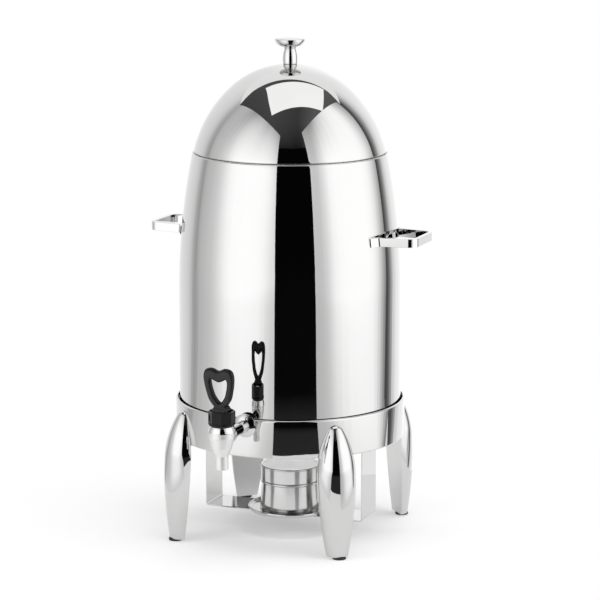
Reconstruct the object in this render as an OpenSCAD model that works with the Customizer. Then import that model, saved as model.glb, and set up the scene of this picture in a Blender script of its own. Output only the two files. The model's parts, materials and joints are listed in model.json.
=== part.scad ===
// Footed coffee urn with a domed lift-off lid, a lever tap and a fuel burner below.
// Millimetres. The origin is on the table under the vessel's axis, +Z is up,
// the tap points to -Y and the two carrying handles lie along X.

/* [Base ring] */
// Gap between the vessel and the band that carries it
ring_gap = 3.5; // [3:0.1:5]
// Sheet thickness of the band
ring_wall = 1.5; // [1:0.1:2]
// Height of the band's lower edge above the table
ring_z = 129; // [120:1:140]
// Height of the band
ring_h = 49; // [46:1:54]
// Radius of the band's rolled top edge
ring_lip_r = 2.5; // [2:0.1:2.8]
// Radius of the hem along the band's lower edge
ring_hem_r = 1.4; // [1:0.1:1.8]
// Height of the inner ledge's top above the band's lower edge
ledge_up = 21; // [20:0.5:23]
// Thickness of the inner ledge
ledge_t = 1.5; // [1:0.1:2]
// Width of the inner ledge
ledge_w = 40; // [38:0.5:46]

/* [Vessel] */
// Outer radius of the vessel's straight part
vessel_r = 143.5; // [130:0.5:160]
// Wall thickness of the vessel
vessel_wall = 1.2; // [0.8:0.1:1.6]
// Height of the straight part above its seat
straight_h = 168; // [140:1:190]
// Height of the curved shoulder above the straight part
shoulder_h = 179; // [165:1:190]
// Radius of the arc that draws the shoulder in
shoulder_arc = 880; // [840:5:1000]
// Thickness of the vessel's base
base_t = 1.2; // [0.8:0.1:1.6]
// Rise of the base's middle panel
base_step = 6; // [4:0.5:7]
// Width of the base's flat rim round its middle panel
base_rim_w = 15.5; // [12:0.5:16]
// Height of the upturned edge of the base
base_edge_h = 4; // [3:0.5:4.5]
// Width of the mouth's ledge inside the shoulder's edge
mouth_ledge = 8.1; // [6:0.1:14]
// Depth of the mouth's collar
mouth_depth = 16; // [14:0.5:24]

/* [Lid] */
// Distance of the lid's edge inside the shoulder's edge
lid_inset = 1.3; // [0.5:0.1:3]
// Rise of the dome above its edge
lid_rise = 112; // [106:1:118]
// Wall thickness of the lid
lid_wall = 1.2; // [0.8:0.1:1.6]
// Radius of the dome's crown
crown_r = 112; // [106:1:116]
// Slope at which the crown meets the side of the dome
crown_meet = 48; // [44:1:54]
// Radial play of the lid's skirt in the mouth
lid_play = 0.6; // [0.4:0.1:1]
// Depth of the lid's skirt
skirt_depth = 13; // [8:0.5:14]

/* [Knob] */
// Height of the knob above the dome
knob_h = 33.5; // [30:0.5:38]
// Radius of the knob's disc
knob_r = 19.7; // [17:0.1:23]
// Widest radius of the knob's barrel
barrel_r = 9.5; // [8.6:0.1:11]
// Height of the barrel's widest place above the dome
barrel_up = 5.6; // [4:0.1:8]
// Radius of the arc that draws the barrel in
barrel_arc = 42; // [36:1:60]
// Height of the barrel below its neck ring
barrel_h = 19.2; // [17:0.1:20]
// Radius of the ring round the knob's neck
neck_ring_r = 8; // [7.5:0.1:9]
// Height of the ring round the knob's neck
neck_ring_h = 2.4; // [2:0.1:3]
// Radius of the bowl's foot on the neck ring
bowl_foot_r = 7.4; // [6:0.1:7.8]
// Radius of the arc of the bowl below the disc
bowl_arc = 11; // [10:0.5:24]
// Radius of the disc's rounded edge
disc_edge_r = 1.2; // [1:0.1:2]
// Height of the disc's crown above its edge
disc_crown = 1.5; // [1:0.1:3]

/* [Handles] */
// Height of the handles' lower edge above the vessel's seat
handle_up = 238.9; // [200:0.1:260]
// Height of the flat bar
handle_h = 11; // [9:0.5:14]
// Thickness of the flat bar
handle_t = 5; // [4:0.5:6]
// Distance of the grip's outer face from the vessel's side
grip_out = 43.4; // [38:0.2:54]
// Half the length of the grip's straight part
grip_half = 24.5; // [20:0.5:28]
// Outer radius of the bends between the grip and its arms
grip_bend_r = 12; // [8:0.5:14]
// Angle of the arms to the line out from the vessel
arm_splay = 8.5; // [4:0.5:16]
// Length of each foot along the vessel
handle_foot_l = 12; // [8:0.5:16]
// Thickness of each foot
handle_foot_t = 3; // [2:0.5:4]

/* [Legs] */
// Depth of a leg's axis inside the band's face at the leg's widest height
leg_inset = 0.5; // [0:0.1:2]
// Lean of the legs towards the vessel
leg_lean = 2.9; // [1:0.1:4]
// Largest radius of a leg
leg_belly_r = 25.2; // [22:0.2:28]
// Depth of the largest radius below the band
leg_belly_drop = 21; // [16:1:28]
// Radius of the arc below the widest height
leg_lower_arc = 520; // [480:5:600]
// Radius of the arc above the widest height
leg_upper_arc = 117; // [112:1:124]
// Radius of the leg's round tip
leg_tip_r = 12; // [10:0.5:14]
// Rounding of the leg's toe
toe_round = 5; // [3:0.5:6]
// Diameter of a foot pad
pad_d = 17; // [14:0.5:20]
// Thickness of a foot pad
pad_h = 3; // [2:0.25:5]
// Diameter of the plug that holds a pad
pad_plug_d = 6; // [4:0.5:8]
// Length of the plug that holds a pad
pad_plug_l = 7; // [5:0.5:12]

/* [Screws] */
// Shank diameter of the leg screws
leg_screw_d = 5; // [4:0.5:6]
// Head diameter of the leg screws
leg_head_d = 9; // [8:0.5:10]
// Head height of the leg screws
leg_head_h = 2; // [1.5:0.1:2.2]
// Depth of the leg screws in a leg
leg_screw_depth = 6; // [4:0.5:7]
// Height of the lower leg screws above the band's lower edge
leg_screw_low = 10; // [8:0.5:12]
// Height of the upper leg screws above the band's lower edge
leg_screw_high = 33; // [30:0.5:34]
// Shank diameter of the bracket screws
bracket_screw_d = 4; // [3:0.5:5]
// Head diameter of the bracket screws
bracket_head_d = 8; // [7:0.5:9]
// Head height of the bracket screws
bracket_head_h = 2.4; // [2:0.1:3]
// Length of the bracket screws past the ledge
bracket_tip = 2; // [1:0.5:2.5]
// Shank diameter of the knob's screw
knob_screw_d = 5; // [4:0.5:6]
// Head diameter of the knob's screw
knob_head_d = 9.5; // [8:0.5:11]
// Depth of the knob's screw in the knob
knob_screw_depth = 14; // [10:1:18]
// Diameter of the washer below the knob's screw
knob_washer_d = 15; // [12:0.5:20]
// Thickness of the washer below the knob's screw
knob_washer_t = 1.2; // [0.8:0.1:2]

/* [Burner] */
// Distance of the strap's upright faces outside the ledge's inner edge
strap_in = 3; // [2:0.5:5]
// Width of the strap
strap_w = 50; // [44:1:60]
// Thickness of the strap
strap_t = 1.5; // [1:0.1:2]
// Height of the strap's underside above the table
strap_z = 24; // [18:1:30]
// Outer radius of the strap's bends
strap_bend = 3.5; // [2.5:0.1:5]
// Length of the strap's upper tabs
strap_tab = 24; // [22:0.5:27]
// Distance of the bracket screws from the strap's upright faces
strap_screw_out = 13; // [11:0.5:15]
// Distance between the two bracket screws of one tab
strap_screw_gap = 28; // [22:1:34]
// Width of the drip tray outside the burner's foot
tray_margin = 16; // [8:0.5:18]
// Height of the tray
tray_h = 5; // [4:0.5:7]
// Sheet thickness of the tray, the cup, the collar and the can
tin_t = 1.2; // [0.8:0.1:1.4]
// Outer radius of the burner cup
cup_r = 37.5; // [36:0.5:40]
// Height of the burner cup
cup_h = 39; // [34:0.5:42]
// Width by which the cup's foot stands out past its upper edge
cup_flare = 2; // [1:0.5:6]
// Radius of the bead around the cup's upper edge
cup_bead_r = 1.9; // [1.4:0.1:2.2]
// Distance of the collar's side outside the cup's side
collar_out = 1.3; // [0.5:0.1:3]
// Height of the collar above the cup
collar_h = 20; // [18:0.5:28]
// Radius of the bead around the collar's rim
collar_bead_r = 1.3; // [1.1:0.1:2]
// Depth of the collar's sleeve in the cup
sleeve_depth = 12; // [8:0.5:14]
// Radial play of the fuel can in the collar's sleeve
can_play = 2.1; // [1:0.1:4]
// Height of the fuel can
can_h = 34; // [28:0.5:44]
// Width of the fuel can's top round its opening
can_shelf_w = 12; // [8:0.5:16]
// Depth of the fuel can's top below its edge
can_recess = 2.4; // [1.5:0.1:4]

/* [Tap] */
// Distance of the tap's upright axis from the band's face
tap_reach = 71.5; // [64:0.5:82]
// Height of the shank's axis above the band's lower edge
shank_up = 41; // [39:0.5:42]
// Diameter of the tap's shank
shank_d = 16; // [15:0.5:17]
// Bore of the shank and of the spout
tap_bore_d = 11; // [9:0.5:11.5]
// Diameter of the ring on the shank
shank_ring_d = 21; // [19:0.5:24]
// Width of the ring on the shank
shank_ring_w = 4; // [3:0.5:6]
// Diameter of the shank's cover disc
rosette_d = 30; // [27:0.5:34]
// Thickness of the cover disc at its edge
rosette_t = 3; // [2:0.5:4]
// Height of the cover disc's dome
rosette_dome = 5; // [3:0.5:7]
// Width of the shank's hexagon nut across its flats
nut_flats = 26; // [24:0.5:28]
// Thickness of the shank's nut
nut_t = 7; // [5:0.5:9]
// Diameter of the inner seal
seal_d = 27; // [24:0.5:28]
// Diameter of the spacer between the vessel and the band
spacer_d = 20; // [18:0.5:20.5]
// Thickness of the inner seal at its middle
seal_t = 2.5; // [2:0.1:3.5]
// Length of the shank past its nut
shank_tip = 3; // [1:0.5:5]
// Outer diameter of the spout
spout_d = 16; // [15:0.5:17]
// Length of the spout below its cone
spout_l = 17; // [12:0.5:20]
// Height of the tap's cone
cone_h = 32; // [28:0.5:36]
// Outer diameter of the tap's cup
tap_cup_d = 31.6; // [30:0.2:34]
// Height of the tap's cup above the cone
tap_cup_h = 7; // [5:0.5:9]
// Height of the shank's axis above the cone's foot
shank_over_cone = 22; // [20:0.5:23]
// Thickness of the bright rim round the cup
tap_rim_t = 0.7; // [0.4:0.1:1.2]
// Height of the bright rim round the cup
tap_rim_h = 3.5; // [2.5:0.5:5]
// Wall of the tap's cone and cup
tap_wall = 2.2; // [1.8:0.1:2.6]
// Height of the valve's seat above the cone's foot
seat_up = 9; // [8:0.5:10]

/* [Bonnet and valve] */
// Width of the eight-sided bonnet across its flats
bonnet_flats = 31; // [29:0.5:33]
// Height of the bonnet above its seal
bonnet_h = 17; // [15:0.5:20]
// Depth of the well in the bonnet's top
well_depth = 10; // [8:0.5:11]
// Wall round the well
well_wall = 1.8; // [1.4:0.1:2.2]
// Height of the bonnet's bevel
bonnet_bevel = 1; // [0.5:0.1:1.1]
// Thickness of the bonnet's round flange
bonnet_flange_t = 2; // [1.5:0.5:3]
// Width of the square recess in one side of the bonnet
recess_w = 8; // [6:0.5:10]
// Depth of the square recess
recess_depth = 0.8; // [0.4:0.1:1.2]
// Depth of the bonnet's plug in the tap
plug_depth = 9; // [7:0.5:10]
// Thickness of the bonnet's seal
bonnet_seal_t = 1; // [0.8:0.1:1.5]
// Radius of the spring's pocket
pocket_r = 7.5; // [7:0.1:8.5]
// Length of the bore that guides the stem
guide_l = 7; // [5.5:0.5:7.5]
// Radius of the valve's stem
stem_r = 3; // [2.5:0.1:3.4]
// Radius of the stem's eye
eye_r = 4.2; // [3.8:0.1:4.6]
// Width of the stem's eye along the pin
eye_w = 8; // [7:0.5:8.5]
// Radius of the lever's pin
pin_r = 2; // [1.6:0.1:2.4]
// Height of the pin above the well's floor
pin_up = 6.2; // [5.8:0.1:7]
// Radius of the valve's rubber seat
seat_r = 7.3; // [6.6:0.1:7.4]
// Height of the valve's rubber seat
seat_h = 8; // [7:0.5:9]
// Radius of the stem's foot in the rubber seat
stem_foot_r = 4.8; // [4:0.1:5.2]
// Height of the stem's foot
stem_foot_h = 2; // [1.5:0.5:3]
// Thickness of the rubber below the stem's foot
seat_floor = 2; // [1.5:0.5:3]
// Wire radius of the valve's spring
wire_r = 0.6; // [0.4:0.05:0.8]
// Radius of the spring's coils at the middle of the wire
coil_r = 5.6; // [5:0.1:6]
// Turns of the valve's spring
coil_turns = 6; // [4:1:8]

/* [Lever] */
// Width of the lever's fork
fork_w = 21; // [18:0.5:21.5]
// Width of the slot that takes the stem's eye
slot_w = 9.2; // [9:0.1:10]
// Height of the fork above the pin
fork_top = 10; // [8:0.5:12]
// Distance of the fork's back from the pin
fork_back = 5.5; // [5:0.1:6]
// Distance of the fork's front from the pin
fork_front = 8; // [7:0.5:8.5]
// Distance of the fork's corner faces from the pin
fork_corner = 12; // [11:0.1:12.2]
// Size of the bevel round the fork's top
fork_bevel = 4; // [2:0.5:5]
// Height of the web between the fork's cheeks above the pin
web_up = 1; // [0.5:0.1:1.5]
// Height of the blunt nose of the fork's feet
nose_h = 3; // [2:0.5:4]
// Lift of the valve for each radian of tilt
cam_lift = 5.72; // [5:0.02:6]
// Full tilt of the lever in degrees
lever_tilt = 40; // [30:1:42]
// Lean of the loop towards the front at rest
loop_lean = 8; // [4:1:12]
// Width of the loop
loop_w = 39.5; // [35:0.5:44]
// Height of the loop's top above the pin
loop_h = 60; // [54:0.5:64]
// Thickness of the loop
loop_t = 9.5; // [7:0.5:11]
// Squareness of the loop's section, 1 for an oval and less for a fuller one
loop_square = 0.7; // [0.5:0.05:1]

/* [Fits] */
// Gap between pieces that are fixed to each other
fit_gap = 0.1; // [0.05:0.01:0.15]
// Gap between pieces that move past each other
run_gap = 0.3; // [0.2:0.05:0.4]
// Radial play of a screw, pin or stem in its bore
bore_play = 0.05; // [0.02:0.01:0.1]

/* [Hidden] */
$fn = 96;
// Large arcs need short steps to stay true
fine = 720;
// Reach of a cutting solid past what it cuts
past = 1;

ring_top = ring_z + ring_h;
ring_in_r = vessel_r + ring_gap;
ring_r = ring_in_r + ring_wall;
ledge_top = ring_z + ledge_up;
ledge_in_r = ring_in_r - ledge_w;

vessel_z = ledge_top + fit_gap;
straight_top = vessel_z + straight_h;
shoulder_top = straight_top + shoulder_h;
vessel_in_r = vessel_r - vessel_wall;
function body_r(z, grow = 0) =
    z <= straight_top ? vessel_r + grow
    : vessel_r - shoulder_arc + sqrt(pow(shoulder_arc + grow, 2) - pow(z - straight_top, 2));
rim_out_r = body_r(shoulder_top, -vessel_wall) - fit_gap;
base_panel_r = vessel_r - base_rim_w;
mouth_r = body_r(shoulder_top) - mouth_ledge;

lid_r = body_r(shoulder_top) - lid_inset;
lid_z = shoulder_top + run_gap;
lid_top = lid_z + lid_rise;
crown_z = lid_top - crown_r;
side_a = lid_r - crown_r * cos(crown_meet);
side_b = lid_z - crown_z - crown_r * sin(crown_meet);
side_r = -(side_a * side_a + side_b * side_b)
    / (2 * (side_a * cos(crown_meet) + side_b * sin(crown_meet)));
side_x = -(side_r - crown_r) * cos(crown_meet);
side_z = crown_z - (side_r - crown_r) * sin(crown_meet);
function lid_side_r(z, grow = 0) = side_x + sqrt(pow(side_r + grow, 2) - pow(z - side_z, 2));
skirt_r = mouth_r - lid_play;

knob_top = lid_top + knob_h;
disc_z = knob_top - disc_crown - disc_edge_r;
neck_z = lid_top + barrel_h;
bowl_foot = [bowl_foot_r, neck_z + neck_ring_h];
disc_edge = [knob_r - disc_edge_r, disc_z];
bowl_reach = disc_edge - bowl_foot;
bowl_along = (pow(norm(bowl_reach), 2) + pow(bowl_arc, 2) - pow(bowl_arc - disc_edge_r, 2))
    / (2 * norm(bowl_reach));
bowl_aside = sqrt(pow(bowl_arc, 2) - pow(bowl_along, 2));
bowl_mid = bowl_foot + (bowl_along * bowl_reach + bowl_aside * [-bowl_reach.y, bowl_reach.x])
    / norm(bowl_reach);
bowl_end = bowl_mid + bowl_arc / (bowl_arc - disc_edge_r) * (disc_edge - bowl_mid);
disc_arc = (knob_r * knob_r + disc_crown * disc_crown) / (2 * disc_crown);
washer_z = crown_z + sqrt(pow(crown_r - lid_wall, 2) - pow(knob_washer_d / 2, 2)) - fit_gap;

handle_z = vessel_z + handle_up;
grip_x = body_r(handle_z) + grip_out;

leg_angles = [225, 315, 135, 45];
leg_axis_r = ring_r - leg_inset;
leg_belly_z = ring_z - leg_belly_drop;
leg_screw_up = [leg_screw_low, leg_screw_high];
tip_x = leg_belly_r - leg_upper_arc;
tip_z = leg_belly_z + sqrt(pow(leg_upper_arc - leg_tip_r, 2) - tip_x * tip_x);
tip_joint_z = tip_z + leg_tip_r * (tip_z - leg_belly_z) / (leg_upper_arc - leg_tip_r);
toe_r = leg_belly_r - leg_lower_arc + sqrt(pow(leg_lower_arc, 2) - pow(leg_belly_z - toe_round, 2));
leg_foot_r = leg_axis_r + (leg_belly_z - pad_h) * sin(leg_lean);
pad_out = leg_foot_r + toe_r / 2;

strap_top = ledge_top - ledge_t - fit_gap;
strap_x = ledge_in_r + strap_in;
bracket_screw_x = strap_x + strap_screw_out;
tray_z = strap_z + strap_t + fit_gap;
cup_z = tray_z + tin_t + run_gap;
cup_foot_r = cup_r + cup_flare;
tray_r = cup_foot_r + tray_margin;
cup_top = cup_z + cup_h;
collar_z = cup_top + fit_gap;
collar_top = collar_z + collar_h;
collar_r = cup_r + collar_out;
sleeve_r = cup_r - cup_bead_r - run_gap;
can_z = cup_z + tin_t + fit_gap;
can_r = sleeve_r - tin_t - can_play;
can_mouth_r = can_r - can_shelf_w;

tap_y = ring_r + tap_reach;
tap_z = ring_z + shank_up;
cone_z = tap_z - shank_over_cone;
spout_z = cone_z - spout_l;
cone_top = cone_z + cone_h;
tap_top = cone_top + tap_cup_h;
seat_z = cone_z + seat_up;
function cone_r(z) = spout_d / 2 + (tap_cup_d - spout_d) / 2 * (z - cone_z) / cone_h;
chamber_r = tap_cup_d / 2 - tap_wall;
plug_r = chamber_r - fit_gap;
seal_face = vessel_in_r - fit_gap - seal_t;
shank_end = seal_face - fit_gap - nut_t - shank_tip;

bonnet_z = tap_top + bonnet_seal_t + 2 * fit_gap;
bonnet_top = bonnet_z + bonnet_h;
well_z = bonnet_top - well_depth;
well_flats = bonnet_flats - 2 * well_wall;
pocket_top = well_z - guide_l;
plug_z = tap_top - plug_depth;
pin_z = well_z + pin_up;
valve_z = seat_z + run_gap;
stem_z = valve_z + seat_floor;
spring_z = valve_z + seat_h + fit_gap;
spring_top = pocket_top - fit_gap;
cam_h = pin_up - run_gap;

// Vessel and its base ring

module ring_profile() {
    translate([ring_in_r, ring_z + ring_hem_r])
        square([ring_wall, ring_h - ring_hem_r - ring_lip_r]);
    translate([ring_r - ring_lip_r, ring_top - ring_lip_r])
        intersection() {
            difference() {
                circle(ring_lip_r);
                circle(ring_lip_r - ring_wall);
            }
            square(ring_lip_r);
        }
    translate([ring_r - ring_hem_r, ring_z + ring_hem_r])
        circle(ring_hem_r);
    translate([ledge_in_r, ledge_top - ledge_t])
        square([ring_r - ring_wall / 2 - ledge_in_r, ledge_t]);
}

// Outline of the vessel, grown outwards or inwards, with its foot at the height low
module vessel_outline(grow, low, high) {
    translate([0, low])
        square([vessel_r + grow, straight_top - low]);
    intersection() {
        translate([vessel_r - shoulder_arc, straight_top])
            circle(shoulder_arc + grow, $fn = fine);
        translate([0, straight_top])
            square([vessel_r + past, high - straight_top]);
    }
}

// A bar along the shank's axis, from one distance in front of the vessel's axis to another
module along_shank(from, to) {
    translate([0, -from, tap_z])
        rotate([90, 0, 0])
            linear_extrude(to - from)
                children();
}

// Notch, open at the top, through which the shank drops into the band
module shank_notch() {
    gap = shank_d + 2 * fit_gap;
    circle(d = gap);
    translate([-gap / 2, 0])
        square([gap, ring_h]);
}

module at_leg(angle) {
    rotate([0, 0, angle])
        children();
}

// Radial screw holes or shanks through the band into the legs
module leg_screw_bars(d, from, to) {
    for (angle = leg_angles)
        at_leg(angle)
            for (up = leg_screw_up)
                translate([from, 0, ring_z + up])
                    rotate([0, 90, 0])
                        cylinder(h = to - from, d = d);
}

// Upright bars at the four bracket screws
module strap_screw_bars(d, from, to) {
    for (x = [-bracket_screw_x, bracket_screw_x])
        for (y = [-strap_screw_gap / 2, strap_screw_gap / 2])
            translate([x, y, from])
                cylinder(h = to - from, d = d);
}

module base_ring() {
    color("gainsboro")
        difference() {
            rotate_extrude()
                ring_profile();
            leg_screw_bars(leg_screw_d + 2 * bore_play, ring_in_r - past, ring_r + past);
            strap_screw_bars(bracket_screw_d + 2 * bore_play, ledge_top - ledge_t - past, ledge_top + past);
            along_shank(ring_in_r - ring_lip_r, ring_r + past)
                shank_notch();
        }
}

module vessel_shell() {
    color("whitesmoke")
        difference() {
            rotate_extrude()
                difference() {
                    vessel_outline(0, vessel_z, shoulder_top);
                    vessel_outline(-vessel_wall, vessel_z - past, shoulder_top + past);
                }
            along_shank(vessel_in_r - past, vessel_r + past)
                circle(d = shank_d + 2 * fit_gap);
        }
}

module vessel_base() {
    out_r = vessel_in_r - fit_gap;
    color("silver")
        rotate_extrude() {
            translate([base_panel_r - base_t, vessel_z])
                square([out_r - base_panel_r + base_t, base_t]);
            translate([out_r - base_t, vessel_z])
                square([base_t, base_edge_h]);
            translate([base_panel_r - base_t, vessel_z])
                square([base_t, base_step + base_t]);
            translate([0, vessel_z + base_step])
                square([base_panel_r, base_t]);
        }
}

module vessel_rim() {
    color("silver")
        rotate_extrude() {
            translate([mouth_r, shoulder_top - vessel_wall])
                square([rim_out_r - mouth_r, vessel_wall]);
            translate([mouth_r, shoulder_top - mouth_depth])
                square([vessel_wall, mouth_depth]);
        }
}

// Lid

module dome_outline(grow, low) {
    joint_z = crown_z + (crown_r + grow) * sin(crown_meet);
    intersection() {
        translate([0, crown_z])
            circle(crown_r + grow, $fn = fine);
        translate([0, joint_z])
            square([crown_r, crown_r]);
    }
    intersection() {
        translate([side_x, side_z])
            circle(side_r + grow, $fn = fine);
        translate([0, low])
            square([lid_r + past, joint_z - low]);
    }
}

module lid_dome() {
    color("whitesmoke")
        difference() {
            rotate_extrude()
                difference() {
                    dome_outline(0, lid_z);
                    dome_outline(-lid_wall, lid_z - past);
                }
            translate([0, 0, lid_top - lid_wall - past])
                cylinder(h = lid_wall + 2 * past, d = knob_screw_d + 2 * bore_play);
        }
}

module lid_rim() {
    rim_r = lid_side_r(lid_z + lid_wall, -lid_wall) - fit_gap;
    color("silver")
        rotate_extrude() {
            translate([skirt_r - lid_wall, lid_z])
                square([rim_r - skirt_r + lid_wall, lid_wall]);
            translate([skirt_r - lid_wall, lid_z - skirt_depth])
                square([lid_wall, skirt_depth + lid_wall]);
        }
}

module knob_profile() {
    intersection() {
        translate([barrel_r - barrel_arc, lid_top + barrel_up])
            circle(barrel_arc, $fn = fine);
        translate([0, lid_top - past])
            square([barrel_r, barrel_h + 2 * past]);
    }
    translate([0, neck_z])
        square([neck_ring_r - neck_ring_h / 2, neck_ring_h]);
    translate([neck_ring_r - neck_ring_h / 2, neck_z + neck_ring_h / 2])
        circle(d = neck_ring_h);
    polygon([[0, neck_z], [bowl_foot.x, neck_z], bowl_foot, bowl_end, disc_edge, [0, disc_z]]);
    intersection() {
        translate(bowl_mid)
            circle(bowl_arc, $fn = fine);
        polygon([[0, bowl_foot.y], [knob_r, bowl_foot.y], bowl_end, disc_edge]);
    }
    translate([0, disc_z - past])
        square([disc_edge.x, disc_edge_r + past]);
    translate(disc_edge)
        circle(disc_edge_r);
    intersection() {
        translate([0, knob_top - disc_arc])
            circle(disc_arc, $fn = fine);
        translate([0, disc_z + disc_edge_r / 2])
            square([knob_r - disc_edge_r / 2, knob_top - disc_z]);
    }
}

module lid_knob() {
    color("gainsboro")
        difference() {
            rotate_extrude()
                knob_profile();
            translate([0, 0, crown_z])
                sphere(crown_r + fit_gap, $fn = fine);
            translate([0, 0, lid_top - past])
                cylinder(h = knob_screw_depth + 2 * past, d = knob_screw_d + 2 * bore_play);
        }
}

module knob_washer() {
    color("silver")
        translate([0, 0, washer_z - knob_washer_t])
            difference() {
                cylinder(h = knob_washer_t, d = knob_washer_d);
                translate([0, 0, -past])
                    cylinder(h = knob_washer_t + 2 * past, d = knob_screw_d + 2 * bore_play);
            }
}

module knob_screw() {
    head_z = washer_z - knob_washer_t - fit_gap;
    color("silver") {
        translate([0, 0, head_z - knob_screw_d / 2])
            cylinder(h = knob_screw_d / 2, d = knob_head_d);
        translate([0, 0, head_z - past])
            cylinder(h = lid_top + knob_screw_depth - head_z + past, d = knob_screw_d);
    }
}

// Handles

// Plan of a handle's outer face, or of its inner face when moved in by the bar's thickness
module handle_plan(inwards) {
    r = grip_bend_r - inwards;
    bend = [grip_x - grip_bend_r, grip_half];
    start = bend + r * [sin(arm_splay), cos(arm_splay)];
    back = start - start[0] * [1, -tan(arm_splay)];
    flip = [[1, 0], [0, -1]];
    polygon([
        flip * back, flip * start, flip * bend + [r, 0],
        bend + [r, 0], start, back
    ]);
    for (end = [bend, flip * bend])
        translate(end)
            circle(r = r);
}

module handle() {
    root_r = body_r(handle_z);
    far = [grip_x - grip_bend_r, grip_half] + grip_bend_r * [sin(arm_splay), cos(arm_splay)];
    root_half = far[1] + (far[0] - root_r) * tan(arm_splay);
    root_a = asin(root_half / root_r);
    foot_a = root_a + handle_foot_l / root_r * 180 / PI;
    foot_r = root_r + fit_gap + handle_foot_t;
    color("gainsboro")
        difference() {
            translate([0, 0, handle_z]) {
                linear_extrude(handle_h)
                    difference() {
                        handle_plan(0);
                        handle_plan(handle_t);
                    }
                for (side = [1, -1])
                    intersection() {
                        cylinder(h = handle_h, r = foot_r, $fn = fine);
                        linear_extrude(handle_h)
                            polygon([
                                [0, 0],
                                2 * root_r * [cos(root_a), side * sin(root_a)],
                                2 * root_r * [cos(foot_a), side * sin(foot_a)]
                            ]);
                    }
            }
            rotate_extrude($fn = fine)
                vessel_outline(fit_gap, vessel_z, shoulder_top);
        }
}

module handle_right() {
    handle();
}

module handle_left() {
    rotate([0, 0, 180])
        handle();
}

// Legs and pads

module leg_profile() {
    intersection() {
        translate([leg_belly_r - leg_lower_arc, leg_belly_z])
            circle(leg_lower_arc, $fn = fine);
        union() {
            translate([0, toe_round])
                square([leg_belly_r, leg_belly_z - toe_round]);
            square([toe_r - toe_round, toe_round]);
        }
    }
    translate([toe_r - toe_round, toe_round])
        circle(toe_round);
    intersection() {
        translate([tip_x, leg_belly_z])
            circle(leg_upper_arc, $fn = fine);
        translate([0, leg_belly_z])
            square([leg_belly_r, tip_joint_z - leg_belly_z]);
    }
    intersection() {
        translate([0, tip_z])
            circle(leg_tip_r);
        translate([0, tip_joint_z])
            square(leg_tip_r);
    }
}

// One leg, standing on +X: half of a turned spindle with a flat back, seated on the band
module leg() {
    span = 2 * leg_belly_r;
    reach = leg_axis_r + 2 * span;
    color("gainsboro")
        difference() {
            translate([leg_axis_r, 0, leg_belly_z])
                rotate([0, -leg_lean, 0])
                    translate([0, 0, -leg_belly_z])
                        intersection() {
                            rotate_extrude()
                                leg_profile();
                            translate([0, -span, -span])
                                cube([span, 2 * span, 2 * span + ring_top]);
                        }
            translate([0, -span, -span])
                cube([reach, 2 * span, span + pad_h + fit_gap]);
            translate([0, 0, ring_z - fit_gap])
                cylinder(h = ring_h + span, r = ring_r + fit_gap, $fn = fine);
            for (up = leg_screw_up)
                translate([ring_r - past, 0, ring_z + up])
                    rotate([0, 90, 0])
                        cylinder(h = leg_screw_depth + 2 * past, d = leg_screw_d + 2 * bore_play);
            translate([pad_out, 0, 0])
                cylinder(h = pad_h + pad_plug_l + past, d = pad_plug_d + 2 * fit_gap);
        }
}

module leg_front_left() {
    at_leg(leg_angles[0])
        leg();
}

module leg_front_right() {
    at_leg(leg_angles[1])
        leg();
}

module leg_rear_left() {
    at_leg(leg_angles[2])
        leg();
}

module leg_rear_right() {
    at_leg(leg_angles[3])
        leg();
}

module pad() {
    color("#202022")
        translate([pad_out, 0, 0]) {
            cylinder(h = pad_h, d = pad_d);
            cylinder(h = pad_h + pad_plug_l, d = pad_plug_d);
        }
}

module pad_front_left() {
    at_leg(leg_angles[0])
        pad();
}

module pad_front_right() {
    at_leg(leg_angles[1])
        pad();
}

module pad_rear_left() {
    at_leg(leg_angles[2])
        pad();
}

module pad_rear_right() {
    at_leg(leg_angles[3])
        pad();
}

module leg_screws() {
    head_r = ring_in_r - fit_gap;
    color("silver") {
        leg_screw_bars(leg_screw_d, head_r - past, ring_r + leg_screw_depth);
        leg_screw_bars(leg_head_d, head_r - leg_head_h, head_r);
    }
}

// Burner and the strap that carries it

module bend(quarter) {
    intersection() {
        difference() {
            circle(strap_bend);
            circle(strap_bend - strap_t);
        }
        rotate([0, 0, 90 * quarter])
            square(strap_bend);
    }
}

module strap_half() {
    bend_x = strap_x - strap_t + strap_bend;
    translate([0, strap_z])
        square([strap_x - strap_bend, strap_t]);
    translate([strap_x - strap_bend, strap_z + strap_bend])
        bend(3);
    translate([strap_x - strap_t, strap_z + strap_bend])
        square([strap_t, strap_top - strap_z - 2 * strap_bend]);
    translate([bend_x, strap_top - strap_bend])
        bend(1);
    translate([bend_x, strap_top - strap_t])
        square([strap_x + strap_tab - bend_x, strap_t]);
}

module burner_strap() {
    color("lightgray")
        difference() {
            translate([0, strap_w / 2, 0])
                rotate([90, 0, 0])
                    linear_extrude(strap_w) {
                        strap_half();
                        mirror([1, 0])
                            strap_half();
                    }
            strap_screw_bars(bracket_screw_d + 2 * bore_play, strap_top - strap_t - past, strap_top + past);
        }
}

module strap_screws() {
    head_z = strap_top - strap_t - fit_gap;
    color("silver") {
        strap_screw_bars(bracket_head_d, head_z - bracket_head_h, head_z);
        strap_screw_bars(bracket_screw_d, head_z - past, ledge_top + bracket_tip);
    }
}

module drip_tray() {
    color("gainsboro")
        translate([0, 0, tray_z])
            rotate_extrude() {
                square([tray_r - tin_t / 2, tin_t]);
                translate([tray_r - 1.5 * tin_t, 0])
                    square([tin_t, tray_h - tin_t]);
                translate([tray_r - tin_t, tray_h - tin_t])
                    circle(tin_t);
            }
}

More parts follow.
